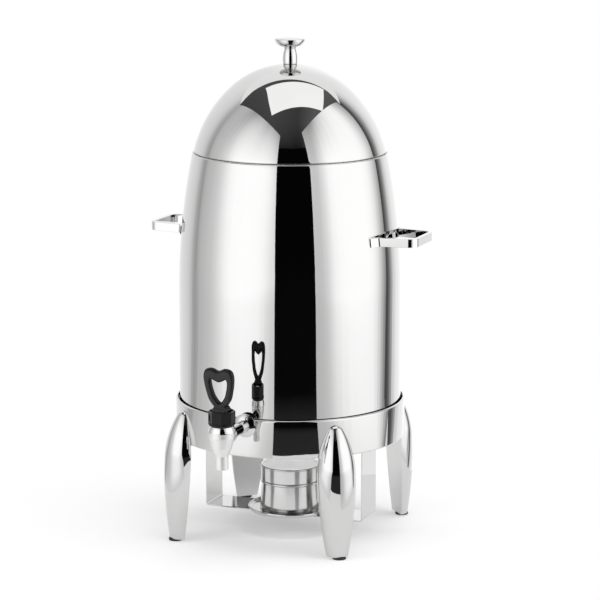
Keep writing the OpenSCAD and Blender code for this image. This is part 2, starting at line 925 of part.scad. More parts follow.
module burner_cup() {
    bead_z = cup_h - cup_bead_r;
    color("gainsboro")
        translate([0, 0, cup_z])
            rotate_extrude() {
                square([cup_foot_r - tin_t / 2, tin_t]);
                polygon([
                    [cup_foot_r - tin_t, 0], [cup_foot_r, 0],
                    [cup_r, bead_z], [cup_r, cup_h], [cup_r - tin_t, cup_h], [cup_r - tin_t, bead_z]
                ]);
                translate([cup_r, bead_z])
                    circle(cup_bead_r);
            }
}

module burner_collar() {
    rim_z = collar_top - collar_bead_r;
    color("gainsboro")
        rotate_extrude() {
            translate([sleeve_r - tin_t, collar_z - sleeve_depth])
                square([tin_t, sleeve_depth + tin_t]);
            translate([sleeve_r - tin_t, collar_z])
                square([collar_r - sleeve_r + tin_t, tin_t]);
            translate([collar_r - tin_t, collar_z])
                square([tin_t, rim_z - collar_z]);
            translate([collar_r - tin_t / 2, rim_z])
                circle(collar_bead_r);
        }
}

module fuel_can() {
    color("silver")
        translate([0, 0, can_z])
            rotate_extrude() {
                square([can_r, tin_t]);
                translate([can_r - tin_t, 0])
                    square([tin_t, can_h]);
                translate([can_mouth_r, can_h - can_recess - tin_t])
                    square([can_shelf_w, tin_t]);
                translate([can_mouth_r, can_h - can_recess - 2 * tin_t])
                    square([tin_t, 2 * tin_t]);
            }
}

// Tap

module tap_profile() {
    difference() {
        union() {
            translate([0, spout_z])
                square([spout_d / 2, spout_l]);
            polygon([
                [0, cone_z], [spout_d / 2, cone_z],
                [tap_cup_d / 2, cone_top], [tap_cup_d / 2, tap_top], [0, tap_top]
            ]);
            translate([0, tap_top - tap_rim_h])
                square([tap_cup_d / 2 + tap_rim_t, tap_rim_h]);
        }
        translate([0, spout_z - past])
            square([tap_bore_d / 2, seat_z - spout_z + 2 * past]);
        polygon([
            [0, seat_z], [cone_r(seat_z) - tap_wall, seat_z],
            [cone_r(plug_z) - tap_wall, plug_z - fit_gap], [chamber_r, plug_z - fit_gap],
            [chamber_r, tap_top + past], [0, tap_top + past]
        ]);
    }
}

module tap_body() {
    back = tap_y - chamber_r;
    ring_y = tap_y - tap_cup_d / 2 - shank_ring_w;
    color("gainsboro")
        difference() {
            union() {
                translate([0, -tap_y, 0])
                    rotate_extrude()
                        tap_profile();
                difference() {
                    along_shank(shank_end, tap_y)
                        circle(d = shank_d);
                    translate([0, -tap_y, spout_z])
                        cylinder(h = tap_top - spout_z, r = chamber_r + tap_wall / 2);
                }
                along_shank(ring_y - shank_ring_w, ring_y)
                    circle(d = shank_ring_d);
            }
            along_shank(shank_end - past, back + past)
                circle(d = tap_bore_d);
        }
}

// A ring of the given outline around the shank, kept between two cylinders about the vessel's axis
module shank_ring(in_r, out_r) {
    difference() {
        intersection() {
            along_shank(in_r - seal_d, out_r + past)
                difference() {
                    children();
                    circle(d = shank_d + 2 * fit_gap);
                }
            translate([0, 0, tap_z - seal_d])
                cylinder(h = 2 * seal_d, r = out_r, $fn = fine);
        }
        translate([0, 0, tap_z - seal_d - past])
            cylinder(h = 2 * seal_d + 2 * past, r = in_r, $fn = fine);
    }
}

module shank_rosette() {
    face = ring_r + rosette_t + fit_gap;
    dome_r = (rosette_d / 2 * rosette_d / 2 + rosette_dome * rosette_dome) / (2 * rosette_dome);
    color("gainsboro")
        difference() {
            translate([0, 0, tap_z])
                rotate([90, 0, 0])
                    rotate_extrude()
                        difference() {
                            union() {
                                translate([0, ring_in_r])
                                    square([rosette_d / 2, face - ring_in_r]);
                                intersection() {
                                    translate([0, face + rosette_dome - dome_r])
                                        circle(dome_r, $fn = fine);
                                    translate([0, face])
                                        square([rosette_d / 2, rosette_dome]);
                                }
                            }
                            translate([0, ring_in_r - past])
                                square([shank_d / 2 + fit_gap, face]);
                        }
            translate([0, 0, ring_z])
                cylinder(h = ring_h + rosette_d, r = ring_r + fit_gap, $fn = fine);
        }
}

module shank_spacer() {
    color("#3a3a3c")
        shank_ring(vessel_r + fit_gap, ring_in_r - fit_gap)
            circle(d = spacer_d);
}

module shank_seal() {
    color("#3a3a3c")
        difference() {
            intersection() {
                along_shank(seal_face, vessel_r)
                    circle(d = seal_d);
                translate([0, 0, tap_z - seal_d])
                    cylinder(h = 2 * seal_d, r = vessel_in_r - fit_gap, $fn = fine);
            }
            along_shank(seal_face - past, vessel_r + past)
                circle(d = shank_d + 2 * fit_gap);
        }
}

module shank_nut() {
    color("silver")
        along_shank(seal_face - fit_gap - nut_t, seal_face - fit_gap)
            difference() {
                circle(d = nut_flats / cos(30), $fn = 6);
                circle(d = shank_d + 2 * fit_gap);
            }
}

// Bonnet and valve

module tap_bonnet() {
    corner_d = bonnet_flats / cos(22.5);
    bevel_d = corner_d - 2 * bonnet_bevel;
    recess_z = (bonnet_z + bonnet_flange_t + bonnet_top - bonnet_bevel - recess_w) / 2;
    color("#252527")
        translate([0, -tap_y, 0])
            difference() {
                union() {
                    intersection() {
                        translate([0, 0, bonnet_z])
                            rotate([0, 0, 22.5])
                                cylinder(h = bonnet_h, d = corner_d, $fn = 8);
                        union() {
                            translate([0, 0, bonnet_z])
                                cylinder(h = bonnet_h - bonnet_bevel, d = corner_d + past);
                            translate([0, 0, bonnet_top - bonnet_bevel])
                                cylinder(h = bonnet_bevel, d1 = corner_d + past, d2 = bevel_d - bonnet_bevel);
                        }
                    }
                    translate([0, 0, bonnet_z])
                        cylinder(h = bonnet_flange_t, d = tap_cup_d + 2 * tap_rim_t);
                    translate([0, 0, plug_z])
                        cylinder(h = bonnet_z - plug_z + past, r = plug_r);
                }
                translate([0, 0, plug_z - past])
                    cylinder(h = pocket_top - plug_z + past, r = pocket_r);
                translate([0, 0, pocket_top - past])
                    cylinder(h = guide_l + 2 * past, r = stem_r + bore_play);
                translate([0, 0, well_z])
                    rotate([0, 0, 22.5])
                        cylinder(h = well_depth + past, d = well_flats / cos(22.5), $fn = 8);
                rotate([0, 0, -45])
                    translate([-recess_w / 2, -bonnet_flats / 2 - past, recess_z])
                        cube([recess_w, past + recess_depth, recess_w]);
            }
}

module bonnet_seal() {
    color("#3a3a3c")
        translate([0, -tap_y, tap_top + fit_gap])
            difference() {
                cylinder(h = bonnet_seal_t, d = tap_cup_d);
                translate([0, 0, -past])
                    cylinder(h = bonnet_seal_t + 2 * past, r = chamber_r + fit_gap);
            }
}

module valve_stem() {
    color("silver")
        translate([0, -tap_y, 0])
            difference() {
                union() {
                    translate([0, 0, stem_z])
                        cylinder(h = pin_z - stem_z, r = stem_r);
                    translate([0, 0, stem_z])
                        cylinder(h = stem_foot_h, r = stem_foot_r);
                    translate([-eye_w / 2, 0, pin_z])
                        rotate([0, 90, 0])
                            cylinder(h = eye_w, r = eye_r);
                }
                translate([-eye_w, 0, pin_z])
                    rotate([0, 90, 0])
                        cylinder(h = 2 * eye_w, r = pin_r + bore_play);
            }
}

module lever_pin() {
    color("gainsboro")
        translate([-fork_w / 2, -tap_y, pin_z])
            rotate([0, 90, 0])
                cylinder(h = fork_w, r = pin_r);
}

module valve_seat() {
    color("#d8d4cc")
        translate([0, -tap_y, 0])
            difference() {
                translate([0, 0, valve_z])
                    cylinder(h = seat_h, r1 = seat_r, r2 = coil_r + wire_r);
                translate([0, 0, stem_z - fit_gap])
                    cylinder(h = seat_h, r = stem_r + fit_gap);
                translate([0, 0, stem_z - fit_gap])
                    cylinder(h = stem_foot_h + 2 * fit_gap, r = stem_foot_r + fit_gap);
            }
}

// Corners of the spring's wire at one turn of its coil
wire_sides = 6;
steps_a_turn = 12;
function wire_ring(turn, low, high) =
    let (a = 360 * turn, z = low + (high - low) * turn / coil_turns)
    [for (k = [0:wire_sides - 1])
        let (q = 360 * k / wire_sides, r = coil_r + wire_r * cos(q))
        [r * cos(a), r * sin(a), z + wire_r * sin(q)]];

module valve_spring() {
    n = wire_sides;
    steps = steps_a_turn * coil_turns;
    low = spring_z + wire_r;
    high = spring_top - wire_r;
    points = [for (i = [0:steps]) each wire_ring(i / steps_a_turn, low, high)];
    sides = [for (i = [0:steps - 1]) for (k = [0:n - 1])
        let (a = n * i + k, b = n * i + (k + 1) % n)
        each [[a, b, a + n], [b, b + n, a + n]]];
    last = n * steps;
    ends = concat(
        [for (k = [1:n - 2]) [0, k + 1, k]],
        [for (k = [1:n - 2]) [last, last + k, last + k + 1]]);
    color("silver")
        translate([0, -tap_y, 0])
            polyhedron(points, concat(sides, ends));
}

// Lever: its feet are an involute of a circle, so the pin rises evenly as the lever tilts

function cam_point(tilt) =
    let (lift = cam_h + cam_lift * tilt * PI / 180)
    [-lift * sin(tilt) - cam_lift * cos(tilt), -lift * cos(tilt) + cam_lift * sin(tilt)];

nose = cam_point(lever_tilt);
cam_steps = 10;

module fork_outline() {
    polygon(concat(
        [[fork_back, fork_top], [fork_back, -cam_h]],
        [for (step = [0:cam_steps]) cam_point(lever_tilt * step / cam_steps)],
        [
            [nose[0], nose[1] + nose_h], [-fork_front - fork_bevel / 2, fork_top - fork_bevel],
            [-fork_front + fork_bevel / 2, fork_top]
        ]
    ));
}

// Slab along Y with bevels along its top, turned about the upright through the pin
module bevelled_slab(half, turn) {
    low = -cam_h - past;
    rotate([90, 0, turn])
        translate([0, 0, -2 * fork_corner])
            linear_extrude(4 * fork_corner)
                polygon([
                    [-half, low], [half, low],
                    [half, fork_top - fork_bevel], [half - fork_bevel, fork_top + past],
                    [-half + fork_bevel, fork_top + past], [-half, fork_top - fork_bevel]
                ]);
}

// The fork's block, with the corners cut that would meet the bonnet's well
module fork_block() {
    intersection() {
        rotate([90, 0, 90])
            translate([0, 0, -fork_w])
                linear_extrude(2 * fork_w)
                    fork_outline();
        bevelled_slab(fork_w / 2, 0);
        bevelled_slab(fork_corner, 45);
        bevelled_slab(fork_corner, -45);
    }
}

// Half outlines of the loop from its top to its foot, as shares of its half width and height
loop_outer = [
    [0, 0.935], [0.42, 0.985], [0.84, 0.955], [1, 0.84],
    [0.985, 0.68], [0.88, 0.49], [0.66, 0.27], [0, 0.05]
];
loop_inner = [
    [0, 0.69], [0.3, 0.725], [0.47, 0.755], [0.545, 0.7],
    [0.52, 0.6], [0.45, 0.495], [0.32, 0.37], [0, 0.245]
];

// Both halves of an outline at the loop's real size
function full_outline(half) =
    let (whole = concat(half, [for (i = [len(half) - 2:-1:1]) [-half[i][0], half[i][1]]]))
    [for (p = whole) [p[0] * loop_w / 2, p[1] * loop_h]];

// Point at a share t of the way from b to c on a smooth curve through a, b, c and d
function smooth(a, b, c, d, t) =
    let (bow = (2 * a - 5 * b + 4 * c - d) * t * t, twist = (3 * b - a - 3 * c + d) * t * t * t)
    (2 * b + (c - a) * t + bow + twist) / 2;

function closed_curve(pts, steps) =
    let (n = len(pts))
    [for (i = [0:n - 1]) for (s = [0:steps - 1])
        smooth(pts[(i + n - 1) % n], pts[i], pts[(i + 1) % n], pts[(i + 2) % n], s / steps)];

function fuller(value) = sign(value) * pow(abs(value), loop_square);

module lever_loop() {
    sides = 12;
    steps = 3;
    outer = closed_curve(full_outline(loop_outer), steps);
    inner = closed_curve(full_outline(loop_inner), steps);
    n = len(outer);
    points = [for (i = [0:n - 1]) for (k = [0:sides - 1])
        let (
            q = 360 * k / sides,
            mid = (outer[i] + inner[i]) / 2 + (outer[i] - inner[i]) / 2 * fuller(cos(q))
        )
        [mid[0], loop_t / 2 * fuller(sin(q)), mid[1]]];
    faces = [for (i = [0:n - 1]) for (k = [0:sides - 1])
        let (
            a = sides * i + k,
            b = sides * i + (k + 1) % sides,
            c = sides * ((i + 1) % n) + k,
            d = sides * ((i + 1) % n) + (k + 1) % sides
        )
        each [[a, b, c], [b, d, c]]];
    polyhedron(points, faces);
}

module tap_lever() {
    loop_y = (fork_back - fork_front) / 2;
    color("#252527")
        translate([0, -tap_y, pin_z])
            difference() {
                union() {
                    fork_block();
                    translate([0, loop_y, 0])
                        rotate([loop_lean, 0, 0])
                            lever_loop();
                }
                translate([-fork_w, 0, 0])
                    rotate([0, 90, 0])
                        cylinder(h = 2 * fork_w, r = pin_r + bore_play);
                translate([-slot_w / 2, -eye_r - run_gap, -cam_h - past])
                    cube([slot_w, fork_back + eye_r + run_gap + past, cam_h + past + eye_r + run_gap]);
                translate([-slot_w / 2, -2 * tap_cup_d, -cam_h - past])
                    cube([slot_w, 2 * tap_cup_d, cam_h + past + web_up]);
            }
}

base_ring();
vessel_shell();
vessel_base();
vessel_rim();
lid_dome();
lid_rim();
lid_knob();
knob_washer();
knob_screw();
handle_left();
handle_right();
leg_front_left();
leg_front_right();
leg_rear_left();
leg_rear_right();
pad_front_left();
pad_front_right();
pad_rear_left();
pad_rear_right();
leg_screws();
burner_strap();
strap_screws();
drip_tray();
burner_cup();
burner_collar();
fuel_can();
tap_body();
shank_rosette();
shank_spacer();
shank_seal();
shank_nut();
tap_bonnet();
bonnet_seal();
valve_stem();
lever_pin();
valve_seat();
valve_spring();
tap_lever();
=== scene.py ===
import json
from math import asin, atan2, copysign, cos, pi, radians, sin, sqrt, tan

import bmesh
import bpy
from mathutils import Matrix, Vector


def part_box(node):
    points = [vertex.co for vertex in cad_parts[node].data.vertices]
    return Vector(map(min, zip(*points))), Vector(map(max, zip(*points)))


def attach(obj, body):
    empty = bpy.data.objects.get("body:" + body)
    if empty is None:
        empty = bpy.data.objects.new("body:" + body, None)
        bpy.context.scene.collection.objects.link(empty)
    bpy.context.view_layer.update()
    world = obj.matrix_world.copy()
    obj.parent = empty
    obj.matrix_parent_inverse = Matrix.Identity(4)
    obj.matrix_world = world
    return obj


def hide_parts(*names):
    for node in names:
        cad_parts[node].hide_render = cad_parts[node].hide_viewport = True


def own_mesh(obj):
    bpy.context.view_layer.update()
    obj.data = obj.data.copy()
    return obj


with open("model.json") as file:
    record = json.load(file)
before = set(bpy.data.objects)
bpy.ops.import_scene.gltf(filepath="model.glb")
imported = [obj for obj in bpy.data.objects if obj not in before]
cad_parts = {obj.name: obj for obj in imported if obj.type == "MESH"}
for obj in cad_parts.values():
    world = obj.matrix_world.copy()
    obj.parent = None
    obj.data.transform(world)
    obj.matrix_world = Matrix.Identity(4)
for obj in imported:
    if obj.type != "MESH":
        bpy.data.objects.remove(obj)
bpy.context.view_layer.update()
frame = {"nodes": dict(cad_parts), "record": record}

MM = 0.001
QUARTER = pi / 2
RECORD = frame["record"]
BODY_OF = {node: body for body, nodes in RECORD["behaviour"]["bodies"].items() for node in nodes}
SLOT_OF = {row["node"]: row["material_slot"] for row in RECORD["subparts"]}


def box_mm(node):
    """Lowest and highest corner of a node in millimetres."""
    low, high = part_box(node)
    return low / MM, high / MM


# Sizes in millimetres, the large ones from the frame

FIT_GAP = 0.1
CUT_PAST = 10.0

shell_low, shell_high = box_mm("vessel_shell")
VESSEL_R = shell_high.x
VESSEL_WALL = 1.2
VESSEL_Z = shell_low.z
SHOULDER_TOP = shell_high.z
SHOULDER_H = 179.0
SHOULDER_ARC = 880.0
STRAIGHT_TOP = SHOULDER_TOP - SHOULDER_H
SEAM_ROUND = 1.1
SEAM_GAP = 0.5
BASE_PANEL_IN = 15.5
BASE_STEP = 6.0
BASE_EDGE_H = 4.0
MOUTH_LEDGE_W = 6.8

ring_low, ring_high = box_mm("base_ring")
RING_R = ring_high.x
RING_WALL = 1.5
RING_Z = ring_low.z
RING_TOP = ring_high.z
RING_LIP_R = 2.5
RING_HEM_R = 1.4
RING_HEM_START = radians(-240)
LEDGE_T = 1.5
LEDGE_W = 40.0
LEDGE_CLEAR = 0.02

dome_low, dome_high = box_mm("lid_dome")
LID_R = dome_high.x
LID_Z = dome_low.z
LID_TOP = dome_high.z
LID_WALL = 1.2
CROWN_R = 112.0
CROWN_MEET = radians(48)
SKIRT_R = 116.4

knob_low, knob_high = box_mm("lid_knob")
KNOB_R = knob_high.x
KNOB_Z = knob_low.z
KNOB_TOP = knob_high.z
KNOB_SEAT_EDGE = 0.4
KNOB_SEAT_HOLLOW = 0.3
BARREL_R = 9.5
BARREL_UP = 5.6
BARREL_ARC = 42.0
BARREL_H = 19.2
NECK_RING_R = 8.0
NECK_RING_H = 2.4
BOWL_FOOT_R = 7.4
BOWL_ARC = 11.0
DISC_EDGE_R = 1.2
DISC_CROWN = 1.5

GRIP_HALF = 24.5
GRIP_BEND_R = 12.0
ARM_SPLAY = radians(8.5)
HANDLE_T = 5.0
HANDLE_EDGE = 0.4
HANDLE_FOOT_L = 12.0
HANDLE_FOOT_T = 3.0
HANDLE_TOE_T = 1.0
HANDLE_FILLET_R = 4.0

LEG_ANGLES = {"front_left": 225, "front_right": 315, "rear_left": 135, "rear_right": 45}
LEG_INSET = 0.5
LEG_LEAN = radians(2.9)
LEG_BELLY_R = 25.2
LEG_BELLY_Z = RING_Z - 21.0
LEG_LOWER_ARC = 520.0
LEG_UPPER_ARC = 117.0
LEG_TIP_R = 12.0
LEG_EDGE = 0.5
TOE_ROUND = 5.0
PAD_H = 3.0
PAD_R = 8.5
PAD_EDGE = 0.6

TIN = 1.2
CUP_R = 37.5
CUP_FLARE = 2.0
CUP_BEAD_R = 1.9
COLLAR_R = CUP_R + 1.3
COLLAR_BEAD_R = 1.3
SLEEVE_R = CUP_R - CUP_BEAD_R - 0.3
SLEEVE_H = 12.0
CAN_TOP_W = 12.0
CAN_TOP_SUNK = 2.4
STRAP_EDGE = 0.25

tap_low, tap_high = box_mm("tap_body")
pin_low, pin_high = box_mm("lever_pin")
TAP_Y = (pin_low.y + pin_high.y) / 2
PIN_Z = (pin_low.z + pin_high.z) / 2
TAP_TOP = tap_high.z
SPOUT_Z = tap_low.z
SPOUT_R = 8.0
CONE_Z = SPOUT_Z + 17.0
CONE_BELLY_R = 12.4
CONE_BELLY_UP = 10.5
CONE_TOP_R = 15.8
CONE_TOP_UP = 24.0
TAP_RIM_Z = TAP_TOP - 9.0
TAP_RIM_R = CONE_TOP_R + 1.3
TAP_RIM_FOOT = 1.5
TAP_RIM_LOW = radians(8)
TAP_RIM_HIGH = radians(36)
TAP_BORE_R = 5.5
CHAMBER_Z = CONE_Z + 9.0
CHAMBER_LOW_R = 8.0
CHAMBER_HIGH_R = 13.1
SOCKET_R = 13.6
SOCKET_Z = TAP_TOP - 9.1
SHANK_Z = RING_Z + 41.0
SHANK_R = 8.0
SHANK_HOLE_R = SHANK_R + FIT_GAP
SHANK_RING_R = 10.5
SHANK_RING_W = 4.0
SHANK_RING_GAP = 4.0
SHANK_IN_CONE = 4.0
ROSETTE_EDGE = 1.0
ROSETTE_DEEP = 6.0
BONNET_EDGE = 0.55

# Half outlines of the lever's loop, as shares of half its width and of its height
LOOP_OUTER = [
    (0, 0.935), (0.42, 0.985), (0.84, 0.955), (1, 0.84),
    (0.985, 0.68), (0.88, 0.49), (0.66, 0.27), (0, 0.05),
]
LOOP_INNER = [
    (0, 0.69), (0.3, 0.725), (0.47, 0.755), (0.545, 0.7),
    (0.52, 0.6), (0.45, 0.495), (0.32, 0.37), (0, 0.245),
]
LOOP_W = 39.5
LOOP_H = 60.0
LOOP_T = 9.5
LOOP_SQUARE = 0.7
LOOP_LEAN = radians(8)
LOOP_Y = -1.25
SLOT_HALF = 4.6
SLOT_UP = 1.0
EYE_HALF = 4.5
LEVER_GRAIN = 0.38

LEG_SCREW_UPS = (10.0, 33.0)
STRAP_SCREW_X = 123.0
STRAP_SCREW_Y = 14.0
STRAP_HEAD_H = 2.4

# Camera at the photograph's viewing angle

CAMERA_AZIMUTH = radians(22.5)
CAMERA_TURN = radians(-0.209)
CAMERA_PITCH = radians(-11.147)
CAMERA_DISTANCE = 3.4274
CAMERA_HEIGHT = 0.9785
CAMERA_REACH = 50
FRAME_PIXELS = 600
FOCAL_PIXELS = 2702.3
SENSOR_MM = 36.0


def put_in_scene(name, data):
    """A new object that holds some data."""
    thing = bpy.data.objects.new(name, data)
    bpy.context.collection.objects.link(thing)
    return thing


def make_camera():
    data = bpy.data.cameras.new("camera")
    data.sensor_width = SENSOR_MM
    data.lens = FOCAL_PIXELS / FRAME_PIXELS * SENSOR_MM
    data.clip_end = CAMERA_REACH
    camera = put_in_scene("camera", data)
    camera.location = (
        CAMERA_DISTANCE * sin(CAMERA_AZIMUTH),
        -CAMERA_DISTANCE * cos(CAMERA_AZIMUTH),
        CAMERA_HEIGHT,
    )
    camera.rotation_euler = (QUARTER + CAMERA_PITCH, 0, CAMERA_AZIMUTH + CAMERA_TURN)
    bpy.context.scene.camera = camera


# Shader maths


class Value:
    """An output of a shader node. Arithmetic on it adds Math nodes."""

    def __init__(self, finish, socket):
        self.finish = finish
        self.socket = socket

    def math(self, operation, *values):
        return self.finish.node("ShaderNodeMath", {"operation": operation}, *values)

    def __add__(self, other):
        return self.math("ADD", self, other)

    def __sub__(self, other):
        return self.math("SUBTRACT", self, other)

    def __rsub__(self, other):
        return self.math("SUBTRACT", other, self)

    def __mul__(self, other):
        return self.math("MULTIPLY", self, other)

    __radd__ = __add__
    __rmul__ = __mul__

    def over(self, low, high):
        """A smooth step from 0 at low to 1 at high."""
        settings = {"interpolation_type": "SMOOTHSTEP"}
        return self.finish.node("ShaderNodeMapRange", settings, self, low, high)


class Finish:
    """A node tree of a material or of the world, with one method that adds any node."""

    def __init__(self, owner):
        self.owner = owner
        owner.use_nodes = True
        self.tree = owner.node_tree
        self.tree.nodes.clear()

    def feed(self, socket, value):
        if isinstance(value, Value):
            self.tree.links.new(value.socket, socket)
        elif value is not None:
            socket.default_value = value

    def node(self, kind, settings=None, *values, out=0, **named):
        made = self.tree.nodes.new(kind)
        for key, value in (settings or {}).items():
            setattr(made, key, value)
        for socket, value in zip(made.inputs, values):
            self.feed(socket, value)
        for name, value in named.items():
            self.feed(made.inputs[name.replace("_", " ")], value)
        return Value(self, made.outputs[out]) if made.outputs else None

    def spot(self):
        """Object coordinates in metres."""
        return self.node("ShaderNodeTexCoord", out=3)

    def along(self, axis):
        """One of the three object coordinates in metres."""
        return self.node("ShaderNodeSeparateXYZ", None, self.spot(), out="XYZ".index(axis))

    def stretched(self, scale):
        return self.node("ShaderNodeMapping", None, self.spot(), (0, 0, 0), (0, 0, 0), scale)

    def noise(self, size, detail=2.0, roughness=0.5, stretch=(1, 1, 1)):
        """Noise from 0 to 1 whose grains are about size metres wide."""
        spot = self.stretched(tuple(s / size for s in stretch))
        return self.node("ShaderNodeTexNoise", None, spot, Scale=1.0, Detail=detail, Roughness=roughness)

    def length(self, vector):
        return self.node("ShaderNodeVectorMath", {"operation": "LENGTH"}, vector, out=1)

    def bump(self, height, distance, strength=0.5, normal=None):
        values = {"Strength": strength, "Distance": distance, "Height": height, "Normal": normal}
        return self.node("ShaderNodeBump", None, **values)

    def mix(self, share, first, second):
        """A colour between two colours."""
        other_kinds = [None] * 5
        return self.node("ShaderNodeMix", {"data_type": "RGBA"}, share, *other_kinds, first, second, out=2)

    def surface(self, **named):
        shader = self.node("ShaderNodeBsdfPrincipled", None, **named)
        self.node("ShaderNodeOutputMaterial", None, shader)
        return self.owner


def finish_named(name):
    return Finish(bpy.data.materials.new(name))


def grey(tone):
    return (tone, tone, tone, 1)


def polished_steel(name, tone):
    """Mirror-polished sheet: faint hairlines, a little haze, and the slow waves of spun metal."""
    f = finish_named(name)
    haze = f.noise(0.05, 4, 0.6)
    hairs = f.noise(0.0012, 2, 0.6, (1, 1, 0.03))
    waves = f.noise(0.16, 1, 0.4, (1, 1, 0.6))
    colour = f.mix(haze, grey(tone - 0.02), (tone + 0.01, tone + 0.008, tone + 0.004, 1))
    normal = f.bump(hairs, 0.000004, 0.4, f.bump(waves, 0.0012, 0.35))
    roughness = 0.012 + haze * 0.016 + hairs * 0.01
    return f.surface(Base_Color=colour, Metallic=1.0, Roughness=roughness, Normal=normal)


def brushed_steel(name):
    """Plain sheet with a mill grain round the vessel's axis."""
    f = finish_named(name)
    grain = f.noise(0.0006, 3, 0.6, (0.08, 0.08, 1))
    cloud = f.noise(0.03, 3)
    colour = f.mix(cloud, grey(0.57), (0.67, 0.665, 0.65, 1))
    roughness = 0.2 + grain * 0.14 + cloud * 0.08
    return f.surface(Base_Color=colour, Metallic=1.0, Roughness=roughness, Normal=f.bump(grain, 0.00002))


def spun_steel(name, inside_r):
    """Thin sheet spun on a lathe: fine rings round the axis, and inside a radius a pale, matt, rough face,
    painted light that brightens the shaded inside.
    """
    f = finish_named(name)
    rings = f.noise(0.0008, 2, 0.6, (0.02, 0.02, 1))
    cloud = f.noise(0.02, 3)
    across = f.node("ShaderNodeVectorMath", {"operation": "MULTIPLY"}, f.spot(), (1, 1, 0))
    # Painted light: inside the radius the sheet is made pale and mostly non-metal, so the shaded inside reads
    # bright.
    painted_pale_inside = 1 - f.length(across).over((inside_r - 0.2) * MM, inside_r * MM)
    sheen = f.mix(cloud, grey(0.6), (0.67, 0.668, 0.662, 1))
    return f.surface(
        Base_Color=f.mix(painted_pale_inside, sheen, grey(0.84)), Metallic=1 - painted_pale_inside * 0.8,
        Roughness=0.12 + rings * 0.05 + cloud * 0.03 + painted_pale_inside * 0.4, Normal=f.bump(rings, 0.00001, 0.4)
    )


def satin_chrome(name):
    """Plated casting: a satin cone with faint orange peel, and a polished shank and rim."""
    f = finish_named(name)
    peel = f.noise(0.0035, 2, 0.5)
    cloud = f.noise(0.015, 3)
    shank = f.along("Y").over((TAP_Y + 15.0) * MM, (TAP_Y + 16.5) * MM)
    rim = f.along("Z").over(TAP_RIM_Z * MM, (TAP_RIM_Z + 0.4) * MM)
    satin = (1 - shank) * (1 - rim)
    return f.surface(
        Base_Color=f.mix(satin, grey(0.66), (0.78, 0.78, 0.775, 1)), Metallic=1.0,
        Roughness=0.035 + satin * (0.46 + cloud * 0.06), Normal=f.bump(peel * satin, 0.00006)
    )


def tin_plate(name):
    f = finish_named(name)
    spangle = f.node("ShaderNodeTexVoronoi", None, f.stretched((160, 160, 160)), Scale=1.0)
    cloud = f.noise(0.01, 3)
    colour = f.mix(cloud, (0.58, 0.57, 0.55, 1), (0.72, 0.71, 0.69, 1))
    normal = f.bump(spangle, 0.00003, 0.4)
    return f.surface(Base_Color=colour, Metallic=1.0, Roughness=0.26 + cloud * 0.12, Normal=normal)


def black_plastic(name):
    """The bonnet's moulded plastic: glossy, finely grained, a little paler where hands rub it."""
    f = finish_named(name)
    grain = f.noise(0.0005, 2, 0.5)
    rub = f.noise(0.012, 3, 0.6)
    return f.surface(
        Base_Color=f.mix(rub, (0.006, 0.006, 0.007, 1), (0.012, 0.012, 0.013, 1)),
        Roughness=0.12 + rub * 0.1 + grain * 0.04, Specular_IOR_Level=0.16, Normal=f.bump(grain, 0.00005)
    )


def front_lit_plastic(name):
    """The lever's plastic: its front face rougher and painted pale as lit, and its sides painted black as
    shaded.
    """
    f = finish_named(name)
    grain = f.noise(0.0005, 2, 0.5)
    rub = f.noise(0.009, 3, 0.6)
    back = (f.along("Y") - (TAP_Y + LOOP_Y) * MM) * cos(LOOP_LEAN)
    deep = back + (f.along("Z") - PIN_Z * MM) * sin(LOOP_LEAN)
    # Painted light and shade: the front face gets a paler colour and the sides a near-black one.
    front = 1 - deep.over(-0.49 * LOOP_T * MM, -0.4 * LOOP_T * MM)
    lit_front_tone = f.mix(rub, grey(0.022), grey(0.034))
    return f.surface(
        Base_Color=f.mix(front, grey(0.004), lit_front_tone), Roughness=0.24 + front * 0.14 + grain * 0.04,
        Specular_IOR_Level=0.2, Normal=f.bump(grain, 0.00005)
    )


def rubber(name, tone):
    f = finish_named(name)
    grain = f.noise(0.0008, 3, 0.6)
    dust = f.noise(0.01, 3, 0.6)
    dark, pale = (tuple(c * share for c in tone) + (1,) for share in (0.85, 1.15))
    return f.surface(
        Base_Color=f.mix(dust, dark, pale), Roughness=0.62 + dust * 0.2, Specular_IOR_Level=0.35,
        Normal=f.bump(grain, 0.00008)
    )


FINISHES = {
    slot: finish(slot, *values) for slot, finish, *values in (
        ("polished_steel", polished_steel, 0.63), ("plain_steel", brushed_steel),
        ("satin_chrome", satin_chrome), ("can_tin", tin_plate), ("black_plastic", black_plastic),
        ("black_rubber", rubber, (0.028, 0.028, 0.03)), ("pale_rubber", rubber, (0.72, 0.69, 0.63)),
    )
}


# Outlines: lists of (radius, height) in millimetres


def arc(centre, radius, start, end, steps):
    """Points of an arc between two angles in radians."""
    turn = (end - start) / steps
    return [
        (centre[0] + radius * cos(start + turn * i), centre[1] + radius * sin(start + turn * i))
        for i in range(steps + 1)
    ]


def rounded(corners, radius, steps=4):
    """A closed outline with its corners rounded. A corner may bring its own radius as a third number."""
    points = []
    for i, corner in enumerate(corners):
        here = Vector(corner[:2])
        before = Vector(corners[i - 1][:2]) - here
        after = Vector(corners[(i + 1) % len(corners)][:2]) - here
        size = corner[2] if len(corner) > 2 else radius
        half = before.angle(after) / 2
        if size == 0 or abs(half - QUARTER) < 0.01:
            points.append(tuple(here))
            continue
        reach = min(size / tan(half), before.length * 0.49, after.length * 0.49)
        start = here + before.normalized() * reach
        end = here + after.normalized() * reach
        for k in range(steps + 1):
            t = k / steps
            points.append(tuple(start * (1 - t) ** 2 + here * 2 * t * (1 - t) + end * t ** 2))
    return points


# Mesh makers


def mesh_of(made, name):
    """The mesh of a finished bmesh."""
    mesh = bpy.data.meshes.new(name)
    made.to_mesh(mesh)
    made.free()
    return mesh


def shade(mesh, sharp=32):
    mesh.shade_smooth()
    mesh.set_sharp_from_angle(angle=radians(sharp))


